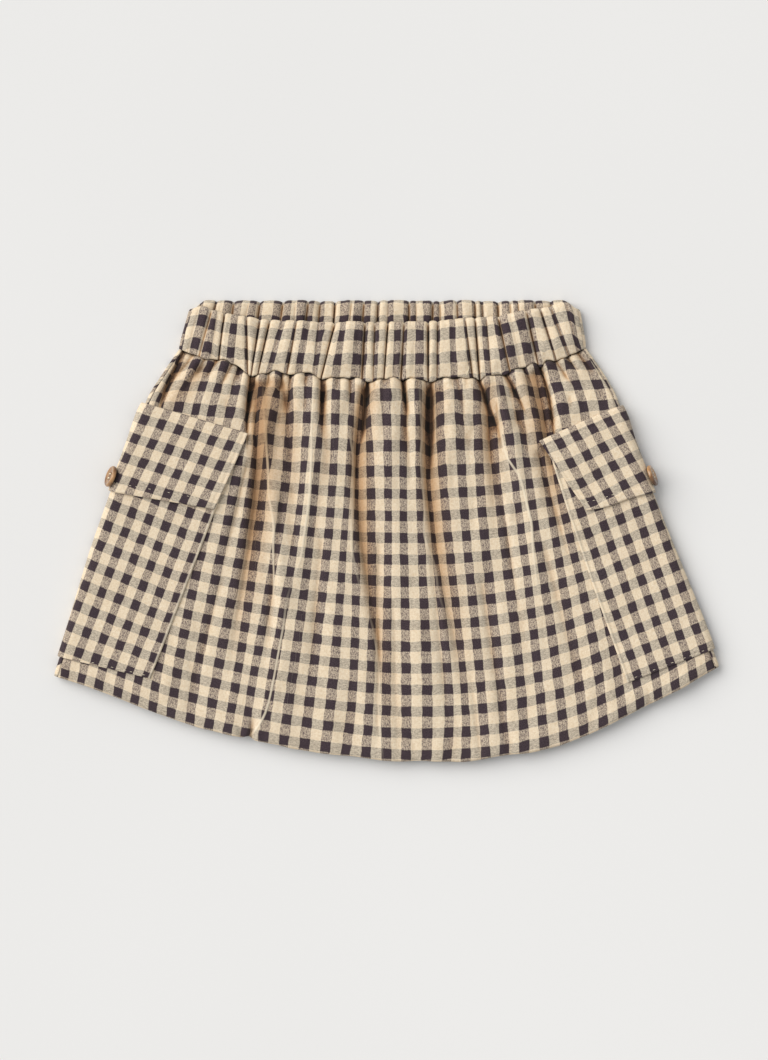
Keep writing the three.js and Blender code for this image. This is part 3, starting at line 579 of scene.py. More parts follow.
class Paint:
    """One material, with a Principled shader."""

    def __init__(self, name, **constants):
        self.material = bpy.data.materials.new(name)
        self.material.use_nodes = True
        self.tree = self.material.node_tree
        self.shader = self.tree.nodes["Principled BSDF"]
        for key, value in constants.items():
            self.shader.inputs[key.replace("_", " ")].default_value = value

    def node(self, kind, settings=None, sockets=None):
        """Any node: its type, its settings, and the values or links of its sockets"""
        node = self.tree.nodes.new(kind)
        for key, value in (settings or {}).items():
            setattr(node, key, value)
        for key, value in (sockets or {}).items():
            if isinstance(value, (Value, bpy.types.NodeSocket)):
                self.tree.links.new(getattr(value, "socket", value), node.inputs[key])
            else:
                node.inputs[key].default_value = value
        return node

    def blend(self, factor, a, b, kind="MIX"):
        """A colour: b over a by the factor"""
        settings = {"data_type": "RGBA", "blend_type": kind}
        return self.node("ShaderNodeMix", settings, {0: factor, 6: a, 7: b}).outputs[2]

    def noise(self, vector, scale, detail=2.0, rough=0.5):
        sockets = {"Vector": vector, "Scale": scale, "Detail": detail, "Roughness": rough}
        return Value(self, self.node("ShaderNodeTexNoise", {}, sockets).outputs[0])

    def vector(self, x, y, z=0.0):
        return self.node("ShaderNodeCombineXYZ", {}, {0: x, 1: y, 2: z}).outputs[0]

    def x_and_y(self, vector):
        parts = self.node("ShaderNodeSeparateXYZ", {}, {0: vector}).outputs
        return Value(self, parts[0]), Value(self, parts[1])

    def place(self):
        """Object coordinates"""
        return self.node("ShaderNodeTexCoord").outputs["Object"]

    def mark(self, name):
        """A number that the mesh holds for each of its points"""
        return Value(self, self.node("ShaderNodeAttribute", {"attribute_name": name}).outputs["Fac"])

    def feed(self, key, value):
        self.tree.links.new(getattr(value, "socket", value), self.shader.inputs[key])

    def bump(self, height, distance, strength, under=None):
        sockets = {"Height": height, "Distance": distance, "Strength": strength}
        if under is not None:
            sockets["Normal"] = under
        return self.node("ShaderNodeBump", {}, sockets).outputs[0]


def linear(red, green, blue):
    """A colour given in display values, 0 to 255, as the light values the shader takes"""
    c = np.array([red, green, blue]) / 255
    c = np.where(c <= 0.04045, c / 12.92, ((c + 0.055) / 1.055) ** 2.4)
    return (*c.tolist(), 1.0)


# Darker and paler yarns of each crossing, and the painted shade in folds and painted highlight on crests
CREAM = linear(222, 199, 166), linear(242, 227, 203)
DARK_WARP = linear(94, 80, 82), linear(206, 189, 166)
DARK_WEFT = linear(153, 141, 127), linear(214, 201, 179)
BOTH_DARK = linear(44, 34, 42), linear(78, 64, 70)
TOP_THREADS = linear(70, 62, 60), linear(240, 228, 205)
# the second colour here is a painted highlight along sharp creases
CLOUDED, CREST_HIGHLIGHT = linear(214, 190, 150), linear(240, 226, 200)
# painted shade in the folds, warmer and darker the deeper they are
FOLD_SHADE_TINTS = ((0.04, 0.45, 0.75, linear(202, 168, 130)), (0.42, 0.7, 0.6, linear(168, 128, 88)),
              (0.6, 1.0, 0.85, linear(64, 44, 40)))  # deep from and to, strength, colour
THREADS = 20.0  # threads in one repeat of the check


def checked_cotton():
    """Slubby plain weave in a two-colour check. The UV's whole numbers are the middles of the dark
    stripes (u) and of the dark rows (v). Where one dark set of threads crosses light ones, the
    cloth is mottled."""
    p = Paint("checked_cotton", Sheen_Weight=0.12, Sheen_Roughness=0.6, Specular_IOR_Level=0.25,
              Sheen_Tint=linear(236, 224, 200))
    uv = p.node("ShaderNodeUVMap", {"uv_map": "cloth"}).outputs[0]
    across, along = p.x_and_y(uv)
    noise = lambda x, y, z, detail, rough=0.5: p.noise(p.vector(across * x, along * y, z), 1.0, detail, rough)
    # the stripes and rows waver a little, and their edges are rough
    s = across + (p.noise(uv, 1.7, 1.0) - 0.5) * 0.12
    t = along + (p.noise(p.vector(across + 7.0, along), 1.5, 1.0) - 0.5) * 0.12
    rough_s, rough_t = (noise(3.0, 16.0, 0.0, 2.0) - 0.5) * 0.03, (noise(16.0, 3.0, 4.0, 2.0) - 0.5) * 0.03
    warp = (abs((s + 0.5).fract() - 0.5) + rough_s).between(0.255, 0.228)
    weft = (abs((t + 0.5).fract() - 0.5) + rough_t).between(0.25, 0.222)
    # short dashes of colour, as slubs and single threads show, along each set of threads
    upright, level = noise(15.0, 7.0, 0.0, 3.0, 0.7), noise(7.0, 15.0, 3.0, 3.0, 0.7)
    fleck = noise(22.0, 20.0, 8.0, 2.0, 0.6)
    cream = p.blend((level + upright - 1.0).between(-0.25, 0.25), *CREAM)
    dark_warp = p.blend((upright * 0.5 + fleck * 0.5).between(0.41, 0.57), *DARK_WARP)
    dark_weft = p.blend((level * 0.6 + fleck * 0.4).between(0.39, 0.59), *DARK_WEFT)
    both = p.blend(fleck.between(0.35, 0.7), *BOTH_DARK)
    colour = p.blend(weft, p.blend(warp, cream, dark_warp), p.blend(warp, dark_weft, both))
    # the top thread of each crossing, faintly
    threads_s, threads_t = s * THREADS, t * THREADS
    crossing = ((threads_s.floor() + threads_t.floor()) * 0.5).fract() * 2.0
    colour = p.blend(0.06, colour, p.blend(crossing, *TOP_THREADS), "SOFT_LIGHT")
    colour = p.blend(p.noise(uv, 0.55, 2.0).between(0.3, 0.7) * 0.1, colour, CLOUDED, "MULTIPLY")
    # painted highlight: a pale line along each sharp standing crease, which also gets a bump below
    crest = abs(p.mark("crest") - 10.0).between(0.75, 0.3) * p.mark("crest_strong")
    colour = p.blend(crest * 0.75, colour, CREST_HIGHLIGHT)
    # painted shade: warmer and darker the deeper in a fold
    deep = p.mark("deep")
    for low, high, strength, tint in FOLD_SHADE_TINTS:
        colour = p.blend(deep.between(low, high) * strength, colour, tint, "MULTIPLY")
    p.feed("Base Color", colour)
    p.feed("Roughness", fleck * 0.16 + 0.8)
    round_s, round_t = (abs((threads * PI).sine()) * 0.6 + 0.2 for threads in (threads_s, threads_t))
    weave = mix(round_s, round_t, crossing) + (upright + level) * 0.7
    crinkle = p.noise(p.vector(across, along * 0.7, 2.0), 2.2, 3.0, 0.55)
    fine = p.bump(crest, 0.0005, 0.5, p.bump(crinkle, 0.0011, 0.42))
    p.feed("Normal", p.bump(weave, 0.00022, 0.55, fine))
    return p.material


def sewing_thread():
    """Twisted cream cotton thread"""
    p = Paint("sewing_thread", Specular_IOR_Level=0.3)
    ply = p.noise(p.place(), 2600.0, 2.0)
    p.feed("Base Color", p.blend(ply.between(0.3, 0.7), linear(214, 198, 168), linear(247, 238, 214)))
    p.feed("Roughness", ply * 0.2 + 0.6)
    p.feed("Normal", p.bump(ply, 0.00008, 0.5))
    return p.material


def horn_button():
    """Polished brown horn: clouded, with pale streaks, and painted shade darkening the lower end of the right
    button
    """
    p = Paint("horn_button", Specular_IOR_Level=0.55, Coat_Roughness=0.18)
    place = p.place()
    cloud = p.noise(place, 170.0, 3.0, 0.55)
    drawn = p.node("ShaderNodeMapping", {}, {"Vector": place, "Scale": (700.0, 120.0, 260.0)}).outputs[0]
    streak = p.noise(drawn, 1.0, 3.0, 0.6)
    tone = p.blend(cloud.between(0.32, 0.68), linear(104, 66, 36), linear(178, 130, 80))
    tone = p.blend(streak.between(0.45, 0.75) * 0.45, tone, linear(214, 178, 128))
    x, y = p.x_and_y(place)
    # painted shade, darker towards the lower end of the right button
    lower_end_shade = y.between(0.0285, 0.0255) * x.between(0.0, 0.01)
    p.feed("Base Color", p.blend(lower_end_shade * 0.8, tone, linear(74, 44, 26)))
    p.feed("Roughness", streak * 0.2 + 0.2)
    p.feed("Coat Weight", cloud * 0.4 + 0.2)
    p.feed("Normal", p.bump(streak, 0.00006, 0.4))
    return p.material


def pale_table():
    """A smooth pale surface, faintly clouded and grained"""
    p = Paint("pale_table", Specular_IOR_Level=0.2)
    place = p.place()
    grain, cloud = p.noise(place, 900.0, 2.0), p.noise(place, 2.2, 2.0)
    p.feed("Base Color", p.blend(cloud.between(0.3, 0.7), linear(228, 227, 225), linear(231, 230, 228)))
    p.feed("Roughness", grain * 0.1 + 0.75)
    p.feed("Normal", p.bump(grain, 0.00003, 0.3))
    return p.material


COTTON, THREAD, HORN, TABLE = checked_cotton(), sewing_thread(), horn_button(), pale_table()


# The check's numbers on the cloth
def stripes_on_front(around, down, points):
    """Stripe numbers: between two charted stripes, the number grows with the distance along the
    row over the folds (arc_along), so that a slope takes in more stripes than the flat."""
    arc = arc_along(points)
    u = turn_of(around)[0]
    total = np.full(u.shape, float(STRIPES[0][0]))
    spots = []
    for _, across in STRIPES:
        at = four_point(across, down)
        # the last column left of the stripe; beyond the sides the distance goes on in a straight line
        column = np.clip((u < at[:, :1]).sum(1, keepdims=True) - 1, 0, u.shape[1] - 2)
        left, right = np.take_along_axis(u, column, 1), np.take_along_axis(u, column + 1, 1)
        share = np.clip((at[:, :1] - left) / (right - left), -12, 12)
        spots.append(mix(np.take_along_axis(arc, column, 1), np.take_along_axis(arc, column + 1, 1), share))
    for (low, _), (high, _), a, b in zip(STRIPES, STRIPES[1:], spots, spots[1:]):
        total += (high - low) * np.clip((arc - a) / np.maximum(b - a, 1e-6), 0, 1)
    return total


def rows_on_front(around, down, points):
    """Row numbers: by the distance below a nearly straight waist line, with fewer rows to the
    length above the third one than below it. Rows sag into the troughs near the waist."""
    u = turn_of(around)[0]
    top = WAIST_FRONT_Y + 5.5 * u * u
    bottom = through(HEM_LINE, (u + 1) / 2)
    beyond_third = (top - points[..., 1]) / (top - bottom) - THIRD_ROW
    number = 3 + np.where(beyond_third > 0, ROWS_BELOW, ROWS_ABOVE) * beyond_third
    sag = np.clip(-front_relief(u, down), -2.5, 4) * 0.6 * np.exp(-((down / 0.3) ** 2))
    return number - sag / ROW


def depth_in_folds(points, u, down, reach=9):
    """0 to 1: how far a point lies below the mean height of its neighbours along the row, or how
    near it is to a pinched crease: 0.33 x depth x exp(-|off| / width), with about half its width,
    both weaker further down; or on the slope of a long fold, 0.18 x depth x fold_slope()."""
    # this sets the painted shade in the folds
    z = points[..., 2]
    count = 2 * reach + 1
    padded = np.pad(z, ((0, 0), (reach, reach)), mode="edge")
    sums = np.cumsum(np.pad(padded, ((0, 0), (1, 0))), axis=1)
    mean = (sums[:, count:] - sums[:, :-count]) / count
    pinch = bumps([(*line[:5], 0.55 * line[5], 0.55 * line[6]) for line in CREASES], u, down, 1)
    lower = mix(1, 0.5, smooth((down - 0.1) / 0.2))
    slopes = sum(-0.18 * fold[1] * fold_slope(u, down, fold, 1.15, 1.6) for fold in FOLDS if fold[1] < 0)
    return np.clip(np.maximum(np.maximum((mean - z) / 2.4, 0.33 * pinch) * lower, slopes), 0, 1)


def crest_lines(u, down):
    """Signed distance in mm across the cloth from the nearest sharp standing crease, and how strong
    that one is. The sign turns over from line to line, so that it doesn't change between two."""
    field, strong = np.full(u.shape, 9.0), np.zeros(u.shape)
    for number, line in enumerate(CRESTS):
        off = (u - through(line, down)) * half_width(down) * (-1) ** number
        nearer = np.abs(off) < np.abs(field)
        field, strong = np.where(nearer, off, field), np.where(nearer, through(line, down, 2), strong)
    return field, np.clip(strong, 0, 1)


# Panels
def front_panel():
    """tube() from side seam to side seam, waist seam to hem, with its folds."""
    rows = mix(UNDER_BAND / LENGTH, 1.0, spread(1.0, 0.0038, 0.0078, 0.06, 0.0))
    around, down = np.meshgrid(np.linspace(-SIDE_SEAM, SIDE_SEAM, 311), rows)
    middle = tube(around, down)
    from_seam = (SIDE_SEAM - np.abs(around)) * half_width(down)
    from_edge = np.minimum((1 - down) * LENGTH, np.minimum(from_seam, down * LENGTH + 0.5))
    half = CLOTH / 2 * rounded(from_edge)
    outer, inner = shell(middle, half, half)
    cloth = np.stack([stripes_on_front(around, down, middle), rows_on_front(around, down, middle)], -1)
    # at the top left the back comes round the fold a little further, with its own check
    u = turn_of(around)[0]
    cloth[(u < mix(-0.985, -0.935, down / 0.19)) & (down < 0.23)] += (0.45, 0.4)
    crest, strong = crest_lines(u, down)
    # deep sets the painted shade in the folds, crest and crest_strong the painted highlight along sharp
    # creases
    marks = {"deep": depth_in_folds(middle, u, down), "crest": 10 + crest, "crest_strong": strong}
    return closed_sheet("front_panel_cloth", outer, inner, cloth, marks, COTTON)


def back_panel():
    """tube() without folds, from the right side seam round the back to the left one."""
    rows = mix(UNDER_BAND / LENGTH, 1.0, np.linspace(0, 1, 110))
    turn = np.concatenate([np.linspace(SIDE_SEAM + SEAM_OPEN, 1.0, 7), np.linspace(1.0, 2 - FLAT, 8)[1:-1]])
    half_lines = np.concatenate([turn, np.linspace(2 - FLAT, 2, 70)])
    around, down = np.meshgrid(np.concatenate([half_lines, (4 - half_lines[:-1])[::-1]]), rows)
    middle = tube(around, down, False)
    from_seam = (np.minimum(around, 4 - around) - SIDE_SEAM) * half_width(down)
    half = CLOTH / 2 * rounded(np.minimum((1 - down) * LENGTH, from_seam))
    outer, inner = shell(middle, half, half)
    across = 17.2 + arc_along(middle) / STRIPE
    rows = rows_on_front(np.clip(around - 2, -1, 1), down * 0 + 1, middle)
    return closed_sheet("back_panel_cloth", outer, inner, np.stack([across, rows], -1), {}, COTTON)


# Pockets and flaps
def patch_size(part):
    """The width of a patch's front half and its height, in millimetres"""
    in_top, _, top_in, _, bottom_in, _ = part
    return (1 - in_top) * half_width(0.3), (bottom_in - top_in) * LENGTH


def patch_around(part, across, b):
    """around at a share b of a patch's height, on the right side: across goes from 0 at the inner
    edge to 1 at the fold and 2 at the inner edge of the back. Then near, which goes from 0 at an
    inner edge to 1 at the fold, and the inner edge itself."""
    inner = mix(part[0], part[1], b) / (1 - TURN) * FLAT
    near = np.where(across < 1, across, 2 - across)
    around = np.where(across < 1, mix(inner, 1, across), mix(1, 2 - inner, across - 1))
    return around, near, inner


def patch_down(way, part, around, near, b):
    """down at a share b of a patch's height: its top and bottom edges are straight in the plan."""
    in_top, in_bottom, top_in, top_out, bottom_in, bottom_out = part
    u = turn_of(way * around)[0]

    def edge(at_inner, at_fold, u_inner):
        ends = ((u_inner, at_inner), (1.0, at_fold))
        start, end = (plan(np.array(way * v), np.array(d), False)[1] for v, d in ends)
        y = mix(start, end, np.clip((np.abs(u) - u_inner) / (1 - u_inner), 0, 1))
        top, bottom = plan(u, 0 * u, False)[1] - seam_wave(u), plan(u, 0 * u + 1, False)[1]
        return (y - top) / (bottom - top)

    curl = 0.0042 if part == FLAPS[1] else 0.0  # the right flap's lower edge waves a little
    straight = mix(edge(top_in, top_out, in_top), edge(bottom_in, bottom_out, in_bottom), b)
    return straight + curl * b**3 * np.sin(2 * PI * near)


def patch_cloth(name, points, way):
    origin, across, along = (np.array(v) for v in PATCH_CHECK[name])
    if way < 0:
        return patch_cloth(name, points[:, ::-1], 1)[:, ::-1]
    arc = arc_along(points)
    third = points.shape[1] // 3
    heading = unit(points[:, third, :2] - points[:, 0, :2])
    place = points[:, :1, :2] + heading[:, None] * arc[..., None] - origin
    numbers = np.linalg.solve(np.stack([across, along], -1), place.reshape(-1, 2).T).T
    return numbers.reshape(*points.shape[:2], 2)


def patch_relief(around, down, distances, seam_lines, bead):
    """Waves and puckers of a patch's cloth, and the hollows of its seams, by the distances from its
    top, bottom and inner edges: depth x exp(-((distance - line) / 0.7)^2). Only on the front."""
    x, y = around * half_width(down), down * LENGTH
    front = np.clip(1 - (np.abs(around) - 0.96) / 0.04, 0, 1)
    waves = 0.22 * rumple(x / 16 + 5, y / 22 + 11, 21) + 0.12 * rumple(x / 6 + 5, y / 8 + 11, 22)
    near_edge = np.exp(-(np.minimum(distances[0], distances[1]) / 6) ** 2)
    puckers = 0.16 * rumple(x / 2.1, y / 2.1, 23) * near_edge
    seams = bead * np.exp(-(((distances[2] - 0.6) / 0.5) ** 2))  # the turned inner edge stands up
    for distance, line, deep in zip(distances, seam_lines, (0.5, 0.4, 0.3)):
        seams = seams - deep * np.exp(-(((distance - line) / 0.7) ** 2))
    return front * (waves + puckers), front * seams


def patch(name, way, part, offset, seam_lines, bead):
    """A closed sheet round a side fold, from its front inner edge to the one at the back: the plain
    tube moved out by offset() and by its own waves. A turned inner edge stands up by bead."""
    width, height = patch_size(part)
    front = spread(width, 0.55, 1.5, 5.0, 3.0) / width
    back = spread(width, 1.2, 2.4, 3.0, 3.0) / width
    b = (spread(height, 0.6, 1.5, 7.0, 7.0) / height)[:, None]
    around, near, inner = patch_around(part, np.concatenate([front[:-1], 1 + back]), b)
    down = patch_down(way, part, around, near, b)
    around, from_inner = way * around, near * (1 - inner) * half_width(down)
    if way < 0:  # the grid always runs from left to right over the front, so that it faces out
        around, down, from_inner = around[:, ::-1], down[:, ::-1], from_inner[:, ::-1]
    base = tube(around, down, False)
    from_top, from_bottom = b * height + 0 * down, (1 - b) * height + 0 * down
    waves, seams = patch_relief(around, down, (from_top, from_bottom, from_inner), seam_lines, bead)
    middle = base + normals_of(base) * (offset(around, down) + waves)[..., None]
    half = CLOTH / 2 * rounded(np.minimum(from_inner, np.minimum(from_top, from_bottom)))
    outer, inner = shell(middle, half + seams, half)
    # a pocket's turned inner edge gets a painted highlight: a pale line along it
    pale = (0.75 if way < 0 else 0.4) if bead else 0
    marks = {"crest": 10 + np.clip(from_inner - 0.5, -9, 9), "crest_strong": pale + 0 * from_inner}
    return closed_sheet(name + "_cloth", outer, inner, patch_cloth(name, middle, way), marks, COTTON)


def snug(around):
    """The distance between two layers: on the front they lie closer than in the solids."""
    front = mix(LAYER, SNUG_LAYER, smooth((1 - np.abs(around)) / 0.06))
    return np.where(np.abs(around) > 1, LAYER, front)


def pocket_offset(around, down):
    """How far a pocket's middle lies outside the skirt's"""
    return snug(around) + 0 * down


def pocket(way, side):
    """A flat patch with a turned inner edge"""
    return patch(side + "_pocket", way, POCKETS[way], pocket_offset, POCKET_SEAMS, 0.3)


def flap_offset(way):
    """A function of how far a flap's middle lies outside the skirt's: on the skirt at the sewn top
    edge and on the pocket below it, and its lower edge stands off at the front."""
    bottom_in = FLAPS[way][4]

    def offset(around, down):
        u, level, back = turn_of(around)
        lift = np.where(back, 0, level) * FLAP_LIFT * smooth((down - bottom_in + 0.08) / 0.08)
        return snug(around) * (1 + cover(u, down, POCKETS)) + lift

    return offset


def flap(way, side):
    """A flat patch over the top of the pocket"""
    return patch(side + "_flap", way, FLAPS[way], flap_offset(way), FLAP_SEAMS, 0.0)


# Waistband
def band_middle(around, from_top):
    """The band's middle: straight from the top edge to the waist seam, with the side turns."""
    u, level, back = turn_of(around)
    seam_x, seam_y = plan(u, 0 * u, back)
    top_x = mix(BAND_LEFT, BAND_RIGHT, (u + 1) / 2)
    rise = np.where(u < 0, *(high * np.abs(u) ** power for high, power in BAND_RISE))
    corner = smooth((np.abs(u) - 0.93) / 0.07)
    top_y = mix(np.where(back, BAND_BACK_Y, BAND_FRONT_Y + rise), BAND_SIDE_Y, corner)
    top_y = top_y + 1.3 * (1 - corner) * (band_rib(around, from_top) / 2.8 - 0.7)
    middle, reach = (BAND_BACK_Z + BAND_FRONT_Z) / 2, (BAND_FRONT_Z - BAND_BACK_Z) / 2
    z = middle + np.where(back, -level, level) * reach
    return np.stack([mix(top_x, seam_x, from_top), mix(top_y, seam_y, from_top), z], -1)


def off_crease(u, from_top, top, seam):
    """How far in millimetres a place on the band lies right of a crease"""
    return (u - mix(top, seam, from_top)) * BAND_HALF


def band_rib(around, from_top):
    """How far the gathers stand out between the listed creases; in them it is
    less, by depth x (exp(-|off / width|^1.5) + 0.32 exp(-|off| / (2.6 width + 1)))."""
    u, _, back = turn_of(around)

    def ribs(creases, height):
        total = np.full(np.broadcast(u, from_top).shape, height)
        for top, seam, depth, width in creases:
            off = np.abs(off_crease(u, from_top, top, seam))
            deeper = 0.75 + 0.25 * np.cos(PI * (from_top * 1.3 + 7 * top))
            valley = np.exp(-((off / width) ** 1.5)) + 0.32 * np.exp(-off / (2.6 * width + 1))
            total = total - depth * deeper * valley
        return total

    rib = np.where(back, ribs(BACK_CREASES, 3.0), ribs(BAND_CREASES, 3.3))
    calm = 1 - smooth((np.abs(u) - 0.95) / 0.05)
    swell = 0.7 * rumple(u * 17 + 40, from_top * 1.6 + 5, 31)
    swell = swell + 0.3 * rumple(u * 38 + 40, from_top * 3 + 5, 32)
    return soft_floor(mix(0.5, rib + swell, calm), 0.25)


def band_swell(around, from_top):
    """How far the gathers stand out of the wall: rolled over the top edge and down to the seam"""
    high = BAND_FRONT_Y - WAIST_FRONT_Y
    over = 0.25 + 0.75 * rounded(from_top * high, 3.5, 0)
    return band_rib(around, from_top) * over * (0.3 + 0.7 * smooth((1 - from_top) * high / 8))


def band_stripes(u, from_top, creases):
    """Stripe numbers: on a rib they follow its width, and each crease hides 0.24 x depth of one,
    as (1 + tanh(off / (0.6 width))) / 2."""
    total = np.zeros(np.broadcast(u, from_top).shape)
    edges = [(-1, -1)] + [(top, seam) for top, seam, _, _ in creases] + [(1, 1)]
    for (top, seam), (next_top, next_seam) in zip(edges, edges[1:]):
        left, right = mix(top, seam, from_top), mix(next_top, next_seam, from_top)
        gain = (next_top + next_seam - top - seam) / 2 * BAND_HALF / STRIPE
        total = total + gain * np.clip((u - left) / np.maximum(right - left, 1e-3), 0, 1)
    for top, seam, depth, width in creases:
        total = total + 0.12 * depth * (1 + np.tanh(off_crease(u, from_top, top, seam) / (0.6 * width)))
    return total


def band_sheet(name, lines, creases, first_row, first_stripe):
    """band_middle() with a wall on each side: at the front the gathers stand outwards, and at the
    back inwards, where they show above the front band."""
    high = BAND_FRONT_Y - WAIST_FRONT_Y
    rows = (1 - 0.12 / high) * spread(high, 0.4, 1.0, 2.5, 3.0) / high
    around, from_top = np.meshgrid(lines, rows)
    middle = band_middle(around, from_top)
    u, level, back = turn_of(around)
    edge = rounded(from_top * high, 2.2, 0.15) * rounded((1 - from_top) * high, 1.3, 0.2)
    rib, share = band_swell(around, from_top), np.where(back, level, 0)
    outer, inner = shell(middle, *((BAND_WALL / 2 + rib * part) * edge for part in (1 - share, share)))
    across = first_stripe + np.where(back, -1, 1) * band_stripes(u, from_top, creases)
    drop = np.linalg.norm(middle - middle[:1], axis=-1)
    cloth = np.stack([across, (drop - first_row) / BAND_ROW], -1)
    # painted shade: dark in the creases and a little in every hollow, but not over the top edge or at the
    # sides
    pinch = sum(0.5 * depth * np.exp(-np.abs(off_crease(u, from_top, top, seam)) / (0.45 * width))
                for top, seam, depth, width in creases)
    hollow = np.clip(0.2 * (1.8 - band_rib(around, from_top)) / 1.5, 0, 0.2)
    deep = np.clip(hollow + np.maximum(pinch - 0.2, 0), 0, 1)
    deep = deep * smooth(from_top * high / 3) * (1 - smooth((np.abs(u) - 0.95) / 0.04))
    return closed_sheet(name, outer, inner, cloth, {"deep": deep}, COTTON)


def front_band():
    """The front half of the waistband, from side seam to side seam"""
    lines = np.linspace(-SIDE_SEAM, SIDE_SEAM, 760)
    return band_sheet("front_waistband_cloth", lines, BAND_CREASES, 7.4, -15.9)


def back_band():
    """The back half of the waistband, round both folds"""
    turn = np.concatenate([np.linspace(SIDE_SEAM + SEAM_OPEN, 1.0, 6), np.linspace(1.0, 2 - FLAT, 7)[1:-1]])
    lines = np.concatenate([turn, np.linspace(2 - FLAT, 2 + FLAT, 620), (4 - turn)[::-1]])
    return band_sheet("back_waistband_cloth", lines, BACK_CREASES, 10.9, 12.8)


# Sewing
def stitches(path, normal, length, gap, radius):
    """Stitches along a path: each is a small arched tube, whose middle stands radius x 0.8 out of
    the cloth and whose ends go in, with sides all round: centre + radius(t) (cos a, sin a)."""
    rings, sides = 7, 6
    along = np.concatenate([[0], np.cumsum(np.linalg.norm(np.diff(path, axis=0), axis=-1))])
    pitch = length + gap
    count = max(1, int(along[-1] / pitch))
    starts = (along[-1] - count * pitch + gap) / 2 + np.arange(count) * pitch
    t = np.linspace(0, 1, rings)
    places = starts[:, None] + t * length
    pick = lambda field: np.stack([np.interp(places, along, field[:, k]) for k in range(3)], -1)
    centre, up = pick(path), unit(pick(normal))
    side = np.cross(unit(np.gradient(centre, axis=1)), up)
    centre = centre + up * (radius * (1.5 * np.sin(PI * t)[:, None] - 0.7))
    thick = radius * (0.35 + 0.65 * np.sin(PI * np.clip(t, 0.04, 0.96)) ** 0.5)[:, None, None]
    angle = np.linspace(0, 2 * PI, sides + 1)[:-1]
    ring = side[:, :, None] * np.cos(angle)[:, None] + up[:, :, None] * np.sin(angle)[:, None]
    points = (centre[:, :, None] + ring * thick).reshape(-1, 3)
    k, r, a = np.meshgrid(np.arange(count), np.arange(rings - 1), np.arange(sides), indexing="ij")
    at = lambda r, a: (k * rings + r) * sides + a % sides
    faces = np.stack([at(r, a), at(r, a + 1), at(r + 1, a + 1), at(r + 1, a)], -1).reshape(-1, 4)
    first = np.arange(count)[:, None] * rings * sides
    caps = np.concatenate([first + np.arange(sides)[::-1], first + (rings - 1) * sides + np.arange(sides)])
    return points, faces, caps


def sewing(name, runs):
    """All the stitches of one place in one mesh"""
    all_points, all_faces, start = [], [], 0
    for run in runs:
        points, faces, caps = stitches(*run)
        all_points.append(points)
        all_faces += (faces + start).tolist() + (caps + start).tolist()
        start += len(points)
    return add_mesh(name, np.concatenate(all_points), all_faces, material=THREAD)


def patch_line(way, part, offset, seam_lines, edge):
    """The sewing line on a patch's outer face along its 'top' or 'bottom' edge, a little sunk in,
    and the normals along it"""
    width, height = patch_size(part)
    across = np.linspace(0.04, 0.965, 240)
    b = (seam_lines[0] / height if edge == "top" else 1 - seam_lines[1] / height) + 0 * across
    around, near, _ = patch_around(part, across, b)
    down = patch_down(way, part, around, near, b)
    around = way * around
    normal = tube_normal(around, down)
    waves, seams = patch_relief(around, down, (b * height, (1 - b) * height, across * width), seam_lines, 0)
    out = offset(around, down) + CLOTH / 2 + waves + seams - 0.03
    return tube(around, down, False) + normal * out[:, None], normal


def patch_sewing(side, way):
    """Running stitches along a flap's edges and a pocket's bottom. The right flap's top has none."""
    lines = [(FLAPS[way], flap_offset(way), FLAP_SEAMS, edge) for edge in ("top", "bottom")]
    lines = (lines if way < 0 else lines[1:]) + [(POCKETS[way], pocket_offset, POCKET_SEAMS, "bottom")]
    return sewing(side + "_patch_stitches", [(*patch_line(way, *line), *RUNNING_STITCH) for line in lines])


def loose_thread():
    """A cut thread end that lies on the front waistband just above the seam"""
    t = np.linspace(0, 1, 40)
    around, from_top = 0.397 + 0.02 * t + 0.008 * np.sin(PI * t), 0.985 - 0.23 * t
    path = band_middle(around, from_top)
    path[:, 2] += BAND_WALL / 2 + band_swell(around, from_top) + 0.1
    return sewing("waist_thread_end", [(path, np.tile((0.0, 0.0, 1.0), (40, 1)), 5.6, 0.01, 0.24)])


# Buttons
# Radius and height above the seat, from the middle of the face over the rim to the middle of the
# back. The face ends at row 8.
BUTTON_PROFILE = np.array([
    (0, 1.7), (0.5, 1.7), (1, 1.7), (1.5, 1.7), (2, 1.7), (2.5, 1.71), (3, 1.74), (3.5, 1.84), (3.9, 2.02),
    (4.3, 2.16), (4.7, 2.2), (5.1, 2.14), (5.4, 1.95), (5.6, 1.6), (5.7, 1.1), (5.6, 0.6), (5.3, 0.25),
    (4.6, 0.05), (3.4, 0), (2, 0), (0, 0),
])


def button_seat(way):
    """Where the flap's outer face, followed round the side fold, leans as far as the button does,
    and the normal there"""
    down_at, lean = BUTTONS[way]
    around, offset, step = way * np.linspace(1, FLAT, 400), flap_offset(way), 1e-3

    def face(down):
        out = offset(around, down) + CLOTH / 2
        return tube(around, down, False) + tube_normal(around, down) * out[:, None]

    down = np.full(len(around), down_at)
    seat = face(down)
    out = unit(np.cross(face(down + step) - face(down - step), np.gradient(seat, axis=0) * -way))
    flat_enough = out[:, 2] >= np.sin(np.radians(lean))
    k = int(np.argmax(flat_enough)) if flat_enough.any() else -1
    return seat[k], out[k]


